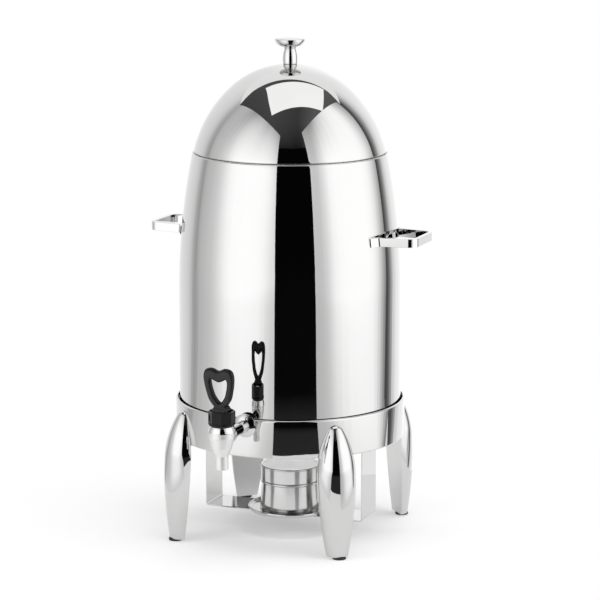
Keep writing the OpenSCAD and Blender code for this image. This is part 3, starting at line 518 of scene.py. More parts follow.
def lathe_mesh(name, outline, turns=192):
    """A mesh turned about Z from a closed outline, in metres. Points on the axis are merged."""
    made = bmesh.new()
    rings = []
    for k in range(turns):
        a = 2 * pi * k / turns
        spots = [(r * MM * cos(a), r * MM * sin(a), z * MM) for r, z in outline]
        rings.append([made.verts.new(spot) for spot in spots])
    for k in range(turns):
        ring, after = rings[k], rings[(k + 1) % turns]
        for i in range(len(outline)):
            j = (i + 1) % len(outline)
            if max(outline[i][0], outline[j][0]) > 1e-6:
                made.faces.new((ring[i], after[i], after[j], ring[j]))
    bmesh.ops.remove_doubles(made, verts=made.verts, dist=1e-6)
    bmesh.ops.dissolve_degenerate(made, edges=made.edges, dist=1e-7)
    bmesh.ops.recalc_face_normals(made, faces=made.faces)
    return mesh_of(made, name)


def placed(mesh, matrix):
    mesh.transform(matrix)
    return mesh


def joined(name, meshes):
    """One mesh that holds the faces of several."""
    made = bmesh.new()
    for mesh in meshes:
        made.from_mesh(mesh)
    return mesh_of(made, name)


def evaluated_mesh(holder):
    """The mesh of an object after its modifier. The object is removed."""
    ready = holder.evaluated_get(bpy.context.evaluated_depsgraph_get())
    mesh = bpy.data.meshes.new_from_object(ready)
    bpy.data.objects.remove(holder)
    return mesh


def with_modifier(mesh, kind, **settings):
    """The mesh after one modifier."""
    holder = put_in_scene("holder", mesh)
    modifier = holder.modifiers.new(kind.lower(), kind)
    for key, value in settings.items():
        setattr(modifier, key, value)
    return evaluated_mesh(holder)


def carved(mesh, *others, how="DIFFERENCE"):
    """The mesh with other closed meshes cut away or added."""
    for other in others:
        tool = put_in_scene("tool", other)
        mesh = with_modifier(mesh, "BOOLEAN", operation=how, object=tool, solver="EXACT")
        bpy.data.objects.remove(tool)
    return mesh


def block(low, high):
    """A box between two corners in millimetres, used to cut."""
    made = bmesh.new()
    size = Vector(high) - Vector(low)
    middle = (Vector(high) + Vector(low)) / 2
    bmesh.ops.create_cube(made, size=1, matrix=Matrix.LocRotScale(middle * MM, None, size * MM))
    return mesh_of(made, "block")


def rod(radius, low, high, turns=96):
    """A solid cylinder about Z in millimetres, used to cut."""
    return lathe_mesh("rod", [(0, low), (radius, low), (radius, high), (0, high)], turns)


def along_y(mesh, z):
    """Turns what stands on Z so that it points to -Y, and lifts it to a height in millimetres."""
    return placed(mesh, Matrix.Translation((0, 0, z * MM)) @ Matrix.Rotation(QUARTER, 4, "X"))


def merged_copy(node):
    """A copy of a node's mesh with its triangles sewn together and its flat faces whole."""
    made = bmesh.new()
    made.from_mesh(frame["nodes"][node].data)
    bmesh.ops.remove_doubles(made, verts=made.verts, dist=2e-6)
    bmesh.ops.dissolve_limit(made, angle_limit=radians(0.4), verts=made.verts, edges=made.edges)
    return mesh_of(made, node)


def flat_shaded(mesh):
    """The mesh with smooth roundings beside flats that mirror flat."""
    shade(mesh, 50)
    return with_modifier(mesh, "WEIGHTED_NORMAL", keep_sharp=True, weight=100)


def bevelled(mesh, width, segments, angle):
    """The mesh with its edges sharper than an angle in degrees rounded to a width in millimetres."""
    return with_modifier(
        mesh, "BEVEL", width=width * MM, segments=segments, limit_method="ANGLE",
        angle_limit=radians(angle), use_clamp_overlap=True
    )


def rounded_copy(node, width, segments):
    """A copy of a node's mesh with its sharp edges rounded."""
    return flat_shaded(bevelled(merged_copy(node), width, segments, 35))


def new_piece(name, mesh, finish):
    piece = put_in_scene(name, mesh)
    mesh.materials.clear()
    mesh.materials.append(finish)
    return piece


def stand_for(node, mesh, finish=None, sharp=32):
    """Puts a finished mesh in the place of a node, on the node's body and in its slot."""
    if sharp:
        shade(mesh, sharp)
    piece = new_piece(node + "_skin", mesh, finish or FINISHES[SLOT_OF[node]])
    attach(piece, BODY_OF[node])
    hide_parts(node)
    return piece


# Vessel, base ring and lid


def shoulder(grow, steps, short):
    """Points of the vessel's side from its seat to short of its top, moved outwards or inwards."""
    centre = (VESSEL_R - SHOULDER_ARC, STRAIGHT_TOP)
    end = asin((SHOULDER_H - short) / (SHOULDER_ARC + grow))
    return [(VESSEL_R + grow, VESSEL_Z)] + arc(centre, SHOULDER_ARC + grow, 0, end, steps)


def make_vessel():
    lean = asin(SHOULDER_H / SHOULDER_ARC)
    outside = shoulder(0, 48, SEAM_GAP + SEAM_ROUND * (1 - sin(lean)))
    edge = (outside[-1][0] - SEAM_ROUND * cos(lean), SHOULDER_TOP - SEAM_GAP - SEAM_ROUND)
    outside += arc(edge, SEAM_ROUND, lean, QUARTER, 6)[1:]
    inside = shoulder(-VESSEL_WALL, 24, SEAM_GAP)[::-1]
    hole = along_y(rod(SHANK_HOLE_R, VESSEL_R - CUT_PAST, VESSEL_R + CUT_PAST), SHANK_Z)
    stand_for("vessel_shell", carved(lathe_mesh("vessel", outside + inside, 256), hole))

    t = VESSEL_WALL
    out_r = VESSEL_R - t - FIT_GAP
    panel_r = VESSEL_R - BASE_PANEL_IN
    panel_z = VESSEL_Z + BASE_STEP
    edge_top = VESSEL_Z + BASE_EDGE_H
    base = rounded([
        (0, panel_z, 0), (panel_r - t, panel_z), (panel_r - t, VESSEL_Z), (out_r, VESSEL_Z),
        (out_r, edge_top), (out_r - t, edge_top), (out_r - t, VESSEL_Z + t),
        (panel_r, VESSEL_Z + t), (panel_r, panel_z + t), (0, panel_z + t, 0),
    ], 0.5)
    stand_for("vessel_base", lathe_mesh("base", base, 128))

    low, high = box_mm("vessel_rim")
    mouth_r = high.x - MOUTH_LEDGE_W
    rim = rounded([
        (mouth_r, high.z, 1.0), (mouth_r, low.z), (mouth_r + t, low.z),
        (mouth_r + t, high.z - t, 0.6), (high.x, high.z - t), (high.x, high.z),
    ], 0.3)
    stand_for("vessel_rim", lathe_mesh("rim", rim))


def make_ring():
    in_r = RING_R - RING_WALL
    lip = (RING_R - RING_LIP_R, RING_TOP - RING_LIP_R)
    hem = (RING_R - RING_HEM_R, RING_Z + RING_HEM_R)
    band = arc(hem, RING_HEM_R, RING_HEM_START, 0, 16)
    band += arc(lip, RING_LIP_R, 0, QUARTER, 10)
    band += arc(lip, RING_LIP_R - RING_WALL, QUARTER, 0, 6)
    band += [(in_r, RING_Z + 4 * RING_HEM_R)]
    ledge_top = VESSEL_Z - FIT_GAP
    ledge_low = ledge_top - LEDGE_T
    ledge_in_r, ledge_r = in_r - LEDGE_W, in_r - LEDGE_CLEAR
    ledge = rounded([
        (ledge_in_r, ledge_low), (ledge_r, ledge_low, 0), (ledge_r, ledge_top, 0), (ledge_in_r, ledge_top),
    ], 0.4)
    behind, before = -RING_R + CUT_PAST, -RING_R - CUT_PAST
    notch = along_y(rod(SHANK_HOLE_R, -behind, -before), SHANK_Z)
    slot = block((-SHANK_HOLE_R, before, SHANK_Z), (SHANK_HOLE_R, behind, RING_TOP + CUT_PAST))
    mesh = carved(lathe_mesh("band", band, 256), notch, slot)
    stand_for("base_ring", joined("base_ring", [mesh, lathe_mesh("ledge", ledge, 128)]))


def dome(grow, low, steps):
    """Points of the dome from its edge to its top, moved outwards or inwards."""
    crown_z = LID_TOP - CROWN_R
    cos_meet, sin_meet = cos(CROWN_MEET), sin(CROWN_MEET)
    out = LID_R - CROWN_R * cos_meet
    down = LID_Z - crown_z - CROWN_R * sin_meet
    side_r = -(out * out + down * down) / (2 * (out * cos_meet + down * sin_meet))
    side = (-(side_r - CROWN_R) * cos_meet, crown_z - (side_r - CROWN_R) * sin_meet)
    start = asin((low - side[1]) / (side_r + grow))
    points = arc(side, side_r + grow, start, CROWN_MEET, steps)
    return points + arc((0, crown_z), CROWN_R + grow, CROWN_MEET, QUARTER, steps)[1:]


def make_lid():
    edge_z = LID_Z + SEAM_GAP
    outside = dome(0, edge_z + 1.2 * SEAM_ROUND, 40)
    (low_r, low_z), (next_r, next_z) = outside[:2]
    lean = atan2(low_r - next_r, next_z - low_z)
    edge = (low_r - SEAM_ROUND * cos(lean), low_z - SEAM_ROUND * sin(lean))
    outside = arc(edge, SEAM_ROUND, -QUARTER, lean, 6)[:-1] + outside
    inside = dome(-LID_WALL, edge_z + LID_WALL / 4, 24)[::-1]
    outside[-1] = (0.0, LID_TOP)
    inside[0] = (0.0, inside[0][1])
    stand_for("lid_dome", lathe_mesh("dome", outside + inside, 256))

    low, high = box_mm("lid_rim")
    rim = rounded([
        (SKIRT_R - LID_WALL, high.z, 0.8), (SKIRT_R - LID_WALL, low.z), (SKIRT_R, low.z),
        (SKIRT_R, high.z - LID_WALL, 0.6), (high.x, high.z - LID_WALL), (high.x, high.z),
    ], 0.35)
    stand_for("lid_rim", lathe_mesh("skirt", rim))


def make_knob():
    disc_z = KNOB_TOP - DISC_CROWN - DISC_EDGE_R
    neck_z = LID_TOP + BARREL_H
    barrel = (BARREL_R - BARREL_ARC, LID_TOP + BARREL_UP)
    barrel_low = asin((KNOB_Z + KNOB_SEAT_EDGE - barrel[1]) / BARREL_ARC)
    barrel_high = asin((neck_z - barrel[1]) / BARREL_ARC)
    base_r = barrel[0] + BARREL_ARC * cos(barrel_low)
    ring = (NECK_RING_R - NECK_RING_H / 2, neck_z + NECK_RING_H / 2)

    foot = Vector((BOWL_FOOT_R, neck_z + NECK_RING_H))
    edge = Vector((KNOB_R - DISC_EDGE_R, disc_z))
    reach = edge - foot
    way = reach.normalized()
    along = (reach.length_squared + BOWL_ARC ** 2 - (BOWL_ARC - DISC_EDGE_R) ** 2) / (2 * reach.length)
    bowl = foot + way * along + Vector((-way.y, way.x)) * sqrt(BOWL_ARC ** 2 - along ** 2)
    bowl_low, bowl_high = (atan2(end.y - bowl.y, end.x - bowl.x) for end in (foot, edge))

    crown_arc = (KNOB_R ** 2 + DISC_CROWN ** 2) / (2 * DISC_CROWN)
    crown_start = QUARTER - asin((KNOB_R - DISC_EDGE_R) / crown_arc)
    outline = [(0, KNOB_Z + KNOB_SEAT_HOLLOW), (base_r - KNOB_SEAT_EDGE, KNOB_Z)]
    outline += arc(barrel, BARREL_ARC, barrel_low, barrel_high, 16)
    outline += arc(ring, NECK_RING_H / 2, -QUARTER, QUARTER, 10)
    outline += arc(bowl, BOWL_ARC, bowl_low, bowl_high, 20)
    outline += arc(edge, DISC_EDGE_R, bowl_high, crown_start, 8)[1:]
    outline += arc((0, KNOB_TOP - crown_arc), crown_arc, crown_start, QUARTER, 12)[1:-1]
    outline += [(0, KNOB_TOP)]
    stand_for("lid_knob", lathe_mesh("knob", outline, 128))


# Handles, legs and pads


def handle_side(grip_x, bend_r, reach_r):
    """Points of one face of the flat bar, from the grip's end to where its arm meets a radius."""
    bend = (grip_x - GRIP_BEND_R, GRIP_HALF)
    points = arc(bend, bend_r, 0, QUARTER - ARM_SPLAY, 14)
    start = Vector(points[-1])
    arm = Vector((-1, tan(ARM_SPLAY)))
    across = start.dot(arm) / arm.length_squared
    over = (start.length_squared - reach_r ** 2) / arm.length_squared
    return points + [tuple(start + arm * (-across - sqrt(across ** 2 - over)))]


def handle_plan(grip_x, z):
    """Outline of the right handle from above. Its feet lie on the vessel at a height, and thin out."""
    root_r = VESSEL_R - SHOULDER_ARC + sqrt(SHOULDER_ARC ** 2 - (z - STRAIGHT_TOP) ** 2) + FIT_GAP
    outer = handle_side(grip_x, GRIP_BEND_R, root_r + HANDLE_FOOT_T)
    inner = handle_side(grip_x, GRIP_BEND_R - HANDLE_T, root_r)
    root, inner_root = (atan2(side[-1][1], side[-1][0]) for side in (outer, inner))
    toe = root + HANDLE_FOOT_L / root_r
    half = [(x, y, 0) for x, y in outer[:-1]] + [(*outer[-1], HANDLE_FILLET_R)]
    for share in (0.5, 0.6, 0.7, 0.8, 0.9, 1.0):
        radius = root_r + HANDLE_FOOT_T + (HANDLE_TOE_T - HANDLE_FOOT_T) * share
        angle = root + (toe - root) * share
        half.append((radius * cos(angle), radius * sin(angle), 0))
    half += [(x, y, 0) for x, y in arc((0, 0), root_r, toe, inner_root, 16) + inner[-2::-1]]
    return rounded(half + [(x, -y, size) for x, y, size in half[::-1]], 0, 8)


def drawn_in(plan, inset):
    """An outline moved inwards by an inset."""
    points = []
    for i, point in enumerate(plan):
        here, before, after = (Vector(p) for p in (point, plan[i - 1], plan[(i + 1) % len(plan)]))
        first, second = (Vector((-way.y, way.x)).normalized() for way in (here - before, after - here))
        points.append(here + (first + second) / (1 + first.dot(second)) * inset)
    return points


def make_handles():
    low, high = box_mm("handle_right")
    turns = [radians(a) for a in (0, 30, 60, 90)]
    levels = [(low.z + HANDLE_EDGE * (1 - cos(a)), HANDLE_EDGE * (1 - sin(a))) for a in turns]
    levels += [(high.z + low.z - z, inset) for z, inset in levels[::-1]]
    made = bmesh.new()
    rows = [
        [made.verts.new((x * MM, y * MM, z * MM)) for x, y in drawn_in(handle_plan(high.x, z), inset)]
        for z, inset in levels
    ]
    made.faces.new(rows[0])
    made.faces.new(rows[-1])
    for below, above in zip(rows, rows[1:]):
        for i in range(len(below)):
            made.faces.new((below[i - 1], below[i], above[i], above[i - 1]))
    bmesh.ops.recalc_face_normals(made, faces=made.faces)
    mesh = flat_shaded(mesh_of(made, "handle"))
    finish = polished_steel("handle_steel", 0.7)
    stand_for("handle_right", mesh, finish, None)
    stand_for("handle_left", placed(mesh.copy(), Matrix.Rotation(pi, 4, "Z")), finish, None)


def leg_outline():
    """The spindle's outline, and the radius of its toe."""
    tip_x = LEG_BELLY_R - LEG_UPPER_ARC
    tip_z = LEG_BELLY_Z + sqrt((LEG_UPPER_ARC - LEG_TIP_R) ** 2 - tip_x ** 2)
    join = asin((tip_z - LEG_BELLY_Z) / (LEG_UPPER_ARC - LEG_TIP_R))
    low = asin((LEG_BELLY_Z - TOE_ROUND) / LEG_LOWER_ARC)
    toe_r = LEG_BELLY_R - LEG_LOWER_ARC * (1 - cos(low))
    outline = [(0, 0)] + arc((toe_r - TOE_ROUND, TOE_ROUND), TOE_ROUND, -QUARTER, -low, 8)
    outline += arc((LEG_BELLY_R - LEG_LOWER_ARC, LEG_BELLY_Z), LEG_LOWER_ARC, -low, 0, 40)[1:]
    outline += arc((tip_x, LEG_BELLY_Z), LEG_UPPER_ARC, 0, join, 30)[1:]
    outline += arc((0, tip_z), LEG_TIP_R, join, QUARTER, 12)[1:]
    outline[-1] = (0, tip_z + LEG_TIP_R)
    return outline, toe_r


def make_legs():
    outline, toe_r = leg_outline()
    axis_r = RING_R - LEG_INSET
    span = 3 * LEG_BELLY_R
    lean = (
        Matrix.Translation((axis_r * MM, 0, LEG_BELLY_Z * MM))
        @ Matrix.Rotation(-LEG_LEAN, 4, "Y")
        @ Matrix.Translation((0, 0, -LEG_BELLY_Z * MM))
    )
    half = carved(lathe_mesh("spindle", outline, 160), block((-span, -span, -span), (0, span, 4 * span)))
    floor_cut = block((0, -span, -span), (axis_r + span, span, PAD_H + FIT_GAP))
    band_cut = rod(RING_R + FIT_GAP, RING_Z - FIT_GAP, RING_TOP + span, 360)
    leg = bevelled(carved(placed(half, lean), floor_cut, band_cut), LEG_EDGE, 2, 50)
    foot_r = axis_r + (LEG_BELLY_Z - PAD_H) * sin(LEG_LEAN) + toe_r / 2
    pad_outline = rounded([(0, 0, 0), (PAD_R, 0), (PAD_R, PAD_H), (0, PAD_H, 0)], PAD_EDGE)
    pad = placed(lathe_mesh("pad", pad_outline, 48), Matrix.Translation((foot_r * MM, 0, 0)))
    for corner, angle in LEG_ANGLES.items():
        turn = Matrix.Rotation(radians(angle), 4, "Z")
        stand_for("leg_" + corner, placed(leg.copy(), turn), sharp=28)
        stand_for("pad_" + corner, placed(pad.copy(), turn))


# Burner


def make_burner():
    low, high = box_mm("drip_tray")
    out_r, floor_z, top = high.x, low.z + TIN, high.z
    tray = rounded([
        (0, low.z, 0), (out_r - 1.6, low.z, 1.2), (out_r - 0.5, top - 2.0, 0.3), (out_r, top - 1.2, 0.6),
        (out_r - 0.6, top, 0.8), (out_r - 1.9, top, 0.8), (out_r - 2.2, top - 1.4, 0.4),
        (out_r - 2.4, floor_z, 0.8), (0, floor_z, 0),
    ], 0.5)
    stand_for("drip_tray", lathe_mesh("tray", tray, 160))

    low, high = box_mm("burner_cup")
    foot_r = CUP_R + CUP_FLARE
    bead_z = high.z - CUP_BEAD_R
    neck_z = bead_z - CUP_BEAD_R
    cup = [(0, low.z), (foot_r - 0.3, low.z), (foot_r, low.z + 0.3), (CUP_R, neck_z)]
    cup += arc((CUP_R, bead_z), CUP_BEAD_R, radians(-80), radians(160), 16)
    cup += [(CUP_R - TIN, neck_z), (foot_r - TIN, low.z + TIN), (0, low.z + TIN)]
    stand_for("burner_cup", lathe_mesh("cup", cup, 160), spun_steel("cup_steel", CUP_R - TIN), 20)

    low, high = box_mm("burner_collar")
    bead_z = high.z - COLLAR_BEAD_R
    neck_z = bead_z - COLLAR_BEAD_R
    shelf_z = low.z + SLEEVE_H
    middle_r = COLLAR_R - TIN / 2
    collar = [(SLEEVE_R - TIN, low.z), (SLEEVE_R, low.z), (SLEEVE_R, shelf_z)]
    collar += [(COLLAR_R - 0.4, shelf_z), (COLLAR_R, shelf_z + 0.4), (COLLAR_R, neck_z)]
    collar += arc((middle_r, bead_z), COLLAR_BEAD_R, radians(-70), radians(250), 20)
    collar += [(COLLAR_R - TIN, neck_z), (COLLAR_R - TIN, shelf_z + TIN), (SLEEVE_R - TIN, shelf_z + TIN)]
    stand_for("burner_collar", lathe_mesh("collar", collar, 160), spun_steel("collar_steel", middle_r), 20)

    low, high = box_mm("fuel_can")
    can_r, wall_r = high.x, high.x - TIN
    mouth_r = can_r - CAN_TOP_W
    top = high.z - CAN_TOP_SUNK
    lip = top - 2 * TIN
    can = rounded([
        (0, low.z, 0), (can_r, low.z), (can_r, high.z), (wall_r, high.z), (wall_r, top, 0.4),
        (mouth_r, top), (mouth_r, lip), (mouth_r + TIN, lip), (mouth_r + TIN, top - TIN),
        (wall_r, top - TIN), (wall_r, low.z + TIN), (0, low.z + TIN, 0),
    ], 0.35)
    stand_for("fuel_can", lathe_mesh("can", can, 128))
    stand_for("burner_strap", rounded_copy("burner_strap", STRAP_EDGE, 2), sharp=None)


# Tap


def make_tap():
    rim_arc = (TAP_TOP - TAP_RIM_Z - TAP_RIM_FOOT) / (sin(TAP_RIM_HIGH) - sin(TAP_RIM_LOW))
    rim_middle = (TAP_RIM_R - rim_arc * cos(TAP_RIM_LOW), TAP_TOP - rim_arc * sin(TAP_RIM_HIGH))
    rim = [(r, z, 0) for r, z in arc(rim_middle, rim_arc, TAP_RIM_LOW, TAP_RIM_HIGH, 10)]
    outside = rounded([
        (0, SPOUT_Z, 0), (SPOUT_R, SPOUT_Z, 0.6), (SPOUT_R, CONE_Z, 2.5),
        (CONE_BELLY_R, CONE_Z + CONE_BELLY_UP, 12.0), (CONE_TOP_R, CONE_Z + CONE_TOP_UP, 8.0),
        (CONE_TOP_R, TAP_RIM_Z, 0.3), (TAP_RIM_R, TAP_RIM_Z, 0.4), *rim, (0, TAP_TOP, 0),
    ], 0.5, 6)
    upright = Matrix.Translation((0, TAP_Y * MM, 0))
    body = placed(lathe_mesh("cone", outside, 128), upright)

    # Along the shank, heights are distances from the vessel's axis towards the tap
    start, end = -tap_high.y, -TAP_Y - SHANK_IN_CONE
    ring_end = -TAP_Y - CONE_TOP_R - SHANK_RING_GAP
    ring_start = ring_end - SHANK_RING_W
    shank = rounded([
        (0, start, 0), (SHANK_R, start, 0.8), (SHANK_R, ring_start, 0.3), (SHANK_RING_R, ring_start, 0.8),
        (SHANK_RING_R, ring_end, 0.8), (SHANK_R, ring_end, 0.3), (SHANK_R, end, 0), (0, end, 0),
    ], 0.5)
    body = carved(body, along_y(lathe_mesh("shank", shank, 96), SHANK_Z), how="UNION")

    chamber = lathe_mesh("chamber", [
        (0, CHAMBER_Z), (CHAMBER_LOW_R, CHAMBER_Z), (CHAMBER_HIGH_R, SOCKET_Z), (SOCKET_R, SOCKET_Z),
        (SOCKET_R, TAP_TOP + 1), (0, TAP_TOP + 1),
    ], 96)
    bore = rod(TAP_BORE_R, SPOUT_Z - 1, CHAMBER_Z + 1, 64)
    inlet = along_y(rod(TAP_BORE_R, start - 1, -TAP_Y - CHAMBER_LOW_R, 64), SHANK_Z)
    body = carved(body, placed(chamber, upright), placed(bore, upright), inlet)
    stand_for("tap_body", body, sharp=24)


def make_rosette():
    low, high = box_mm("shank_rosette")
    disc_r = (high.x - low.x) / 2
    front = -low.y
    dome_h = front - (RING_R + FIT_GAP + ROSETTE_EDGE)
    dome_arc = (disc_r ** 2 + dome_h ** 2) / (2 * dome_h)
    edge, hole = (QUARTER - asin(r / dome_arc) for r in (disc_r, SHANK_HOLE_R))
    crown = arc((0, front - dome_arc), dome_arc, edge + 0.03, hole, 16)
    behind, edge_z = RING_R - ROSETTE_DEEP, crown[0][1]
    outline = [(SHANK_HOLE_R, behind), (disc_r, behind), (disc_r, edge_z - 0.8), (disc_r - 0.2, edge_z - 0.2)]
    rosette = along_y(lathe_mesh("rosette", outline + crown, 128), SHANK_Z)
    band = rod(RING_R + FIT_GAP, RING_Z - 2 * CUT_PAST, RING_TOP + 4 * CUT_PAST, 360)
    stand_for("shank_rosette", carved(rosette, band))


def closed_curve(half, steps):
    """A smooth closed curve through half an outline and its mirror image, at the loop's size."""
    whole = half + [(-x, z) for x, z in half[-2:0:-1]]
    points = [Vector((x * LOOP_W / 2, z * LOOP_H)) for x, z in whole]
    count = len(points)
    curve = []
    for i in range(count):
        a, b, c, d = (points[(i + k) % count] for k in (-1, 0, 1, 2))
        for s in range(steps):
            t = s / steps
            bow = (2 * a - 5 * b + 4 * c - d) * t ** 2
            twist = (3 * b - a - 3 * c + d) * t ** 3
            curve.append((2 * b + (c - a) * t + bow + twist) / 2)
    return curve


def fuller(value):
    """A sine or cosine, raised so that the bar's section comes out squarer than an ellipse."""
    return copysign(abs(value) ** LOOP_SQUARE, value)


def loop_mesh(steps=10, sides=28):
    """The lever's loop, lofted between its outer and inner outline."""
    outer = closed_curve(LOOP_OUTER, steps)
    inner = closed_curve(LOOP_INNER, steps)
    made = bmesh.new()
    rings = []
    for far, near in zip(outer, inner):
        ring = []
        for k in range(sides):
            q = 2 * pi * k / sides
            mid = (far + near) / 2 + (far - near) / 2 * fuller(cos(q))
            ring.append(made.verts.new((mid.x * MM, LOOP_T / 2 * fuller(sin(q)) * MM, mid.y * MM)))
        rings.append(ring)
    for ring, after in zip(rings, rings[1:] + rings[:1]):
        for k in range(sides):
            made.faces.new((ring[k], after[k], after[(k + 1) % sides], ring[(k + 1) % sides]))
    bmesh.ops.recalc_face_normals(made, faces=made.faces)
    pin = Matrix.Translation((0, TAP_Y * MM, PIN_Z * MM))
    tilt = Matrix.Rotation(LOOP_LEAN, 4, "X")
    return placed(mesh_of(made, "loop"), pin @ Matrix.Translation((0, LOOP_Y * MM, 0)) @ tilt)


def make_lever():
    front, back, below = TAP_Y - LOOP_W, TAP_Y + LOOP_W / 2, PIN_Z - CUT_PAST
    slot = block((-SLOT_HALF, front, below), (SLOT_HALF, back, PIN_Z + SLOT_UP))
    eye = block((-SLOT_HALF, TAP_Y - EYE_HALF, below), (SLOT_HALF, back, PIN_Z + EYE_HALF))
    whole = joined("lever", [merged_copy("tap_lever"), carved(loop_mesh(), slot, eye)])
    whole = with_modifier(whole, "REMESH", mode="VOXEL", voxel_size=LEVER_GRAIN * MM, adaptivity=0.0)
    whole = with_modifier(whole, "SMOOTH", factor=0.5, iterations=5)
    stand_for("tap_lever", whole, front_lit_plastic("front_lit_plastic"), 180)


def make_spring():
    """The coil spring: a copy of the node's mesh, with a mesh of its own. The share of its length kept at the
    valve's full lift is worked out, but nothing shortens it.
    """
    lift = next(joint for joint in RECORD["behaviour"]["joints"] if joint["name"] == "valve_lift")
    low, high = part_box("valve_spring")
    spring = stand_for("valve_spring", merged_copy("valve_spring"))
    keep = 1 - lift["range_m"][1] / (high.z - low.z)
    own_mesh(spring)


# Screws, set out by Geometry Nodes


def screw_head(name, head_r, head_h, shank_r, shank_l):
    """A pan-head screw on +Z with a cross recess: its shank runs down from the origin."""
    crown = head_h * 0.45
    outline = [(0, -shank_l), (shank_r - 0.4, -shank_l), (shank_r, -shank_l + 0.6), (shank_r, 0), (head_r, 0)]
    outline += [(head_r, head_h - crown), (head_r * 0.8, head_h - crown * 0.35)]
    outline += [(head_r * 0.4, head_h), (0, head_h)]
    arm, width, deep = head_r * 0.55, head_r * 0.12, head_h * 0.4
    cuts = [block((-x, -y, deep), (x, y, 2 * head_h)) for x, y in ((arm, width), (width, arm))]
    mesh = carved(lathe_mesh(name, outline, 32), *cuts)
    shade(mesh)
    return put_in_scene(name, mesh)


def screw_tree():
    """A node tree that stands a screw on each point, along the point's aim."""
    tree = bpy.data.node_groups.new("screws_on_points", "GeometryNodeTree")
    inputs = {"Points": "Geometry", "Screw": "Object", "Size": "Float", "Finish": "Material"}
    for name, kind in inputs.items():
        tree.interface.new_socket(name, in_out="INPUT", socket_type="NodeSocket" + kind)
    tree.interface.new_socket("Screws", in_out="OUTPUT", socket_type="NodeSocketGeometry")
    given, result, info, aim, turn, stand, real, coat = (tree.nodes.new(kind) for kind in (
        "NodeGroupInput", "NodeGroupOutput", "GeometryNodeObjectInfo", "GeometryNodeInputNamedAttribute",
        "FunctionNodeAlignRotationToVector", "GeometryNodeInstanceOnPoints", "GeometryNodeRealizeInstances",
        "GeometryNodeSetMaterial",
    ))
    aim.data_type = "FLOAT_VECTOR"
    aim.inputs["Name"].default_value = "aim"
    turn.axis = "Z"
    for source, output, target, socket in (
        (given, "Screw", info, "Object"), (aim, "Attribute", turn, "Vector"),
        (given, "Points", stand, "Points"), (info, "Geometry", stand, "Instance"),
        (turn, "Rotation", stand, "Rotation"), (given, "Size", stand, "Scale"),
        (stand, "Instances", real, "Geometry"), (real, "Geometry", coat, "Geometry"),
        (given, "Finish", coat, "Material"), (coat, "Geometry", result, "Screws"),
    ):
        tree.links.new(source.outputs[output], target.inputs[socket])
    return tree


def set_out(tree, screw, points, aims):
    """The screws of one node as a plain mesh."""
    mesh = bpy.data.meshes.new("points")
    mesh.from_pydata([point * MM for point in points], [], [])
    aim = mesh.attributes.new("aim", "FLOAT_VECTOR", "POINT")
    for row, way in zip(aim.data, aims):
        row.vector = way
    holder = put_in_scene("points", mesh)
    modifier = holder.modifiers.new("screws", "NODES")
    modifier.node_group = tree
    values = {"Screw": screw, "Size": 1.0, "Finish": FINISHES["plain_steel"]}
    for item in tree.interface.items_tree:
        if item.in_out == "INPUT" and item.name in values:
            modifier[item.identifier] = values[item.name]
    result = evaluated_mesh(holder)
    bpy.data.objects.remove(screw)
    return result


def make_screws():
    tree = screw_tree()
    head_r = RING_R - RING_WALL - FIT_GAP
    points, aims = [], []
    for angle in LEG_ANGLES.values():
        way = Vector((cos(radians(angle)), sin(radians(angle)), 0))
        for up in LEG_SCREW_UPS:
            points.append(way * head_r + Vector((0, 0, RING_Z + up)))
            aims.append(-way)
    screw = screw_head("leg_screw", head_r=4.5, head_h=2.0, shank_r=2.5, shank_l=7.6)
    stand_for("leg_screws", set_out(tree, screw, points, aims))
    low, high = box_mm("strap_screws")
    head_z = low.z + STRAP_HEAD_H
    points = [Vector((x * STRAP_SCREW_X, y * STRAP_SCREW_Y, head_z)) for x in (-1, 1) for y in (-1, 1)]
    aims = [Vector((0, 0, -1))] * len(points)
    screw = screw_head("strap_screw", head_r=4.0, head_h=STRAP_HEAD_H, shank_r=2.0, shank_l=high.z - head_z)
    stand_for("strap_screws", set_out(tree, screw, points, aims))
    bpy.data.node_groups.remove(tree)


# Nodes that keep their own solid and get only a finish


def dress_the_rest():
    for node, piece in frame["nodes"].items():
        if not piece.hide_render:
            piece.data.materials.clear()
            piece.data.materials.append(FINISHES[SLOT_OF[node]])


# Studio, in metres: pale floor, soft light, and the cards that polished steel mirrors.
# Bearings are in degrees to the right of the way to the camera, and tones are greys.

TO_CAMERA = Vector((sin(CAMERA_AZIMUTH), -cos(CAMERA_AZIMUTH), 0))
TO_RIGHT = Vector((cos(CAMERA_AZIMUTH), sin(CAMERA_AZIMUTH), 0))
FLOOR_REACH = 6.0
FLOOR_TONE = 0.92
ROOM_REACH = 5.0
ROOM_TOP = 6.0
ROOM_TONE = 0.002
GAP_LIFT, SCRIM_LIFT, TABLE_LIFT = 0.001, 0.002, 0.003
WALL_MIDDLE = 1.1
CEILING_Z = 3.55
BACK_WALL = 3.3
SWEEP_START = 0.36
SWEEP_FULL = 0.5
DRAWN_FROM, DRAWN_TO = 85, 190
DRAW_ON, DRAW_OFF = 0.57, 0.43
SOFTBOX_OVER = 2.9
SOFTBOX_Z = 0.55 + SOFTBOX_OVER
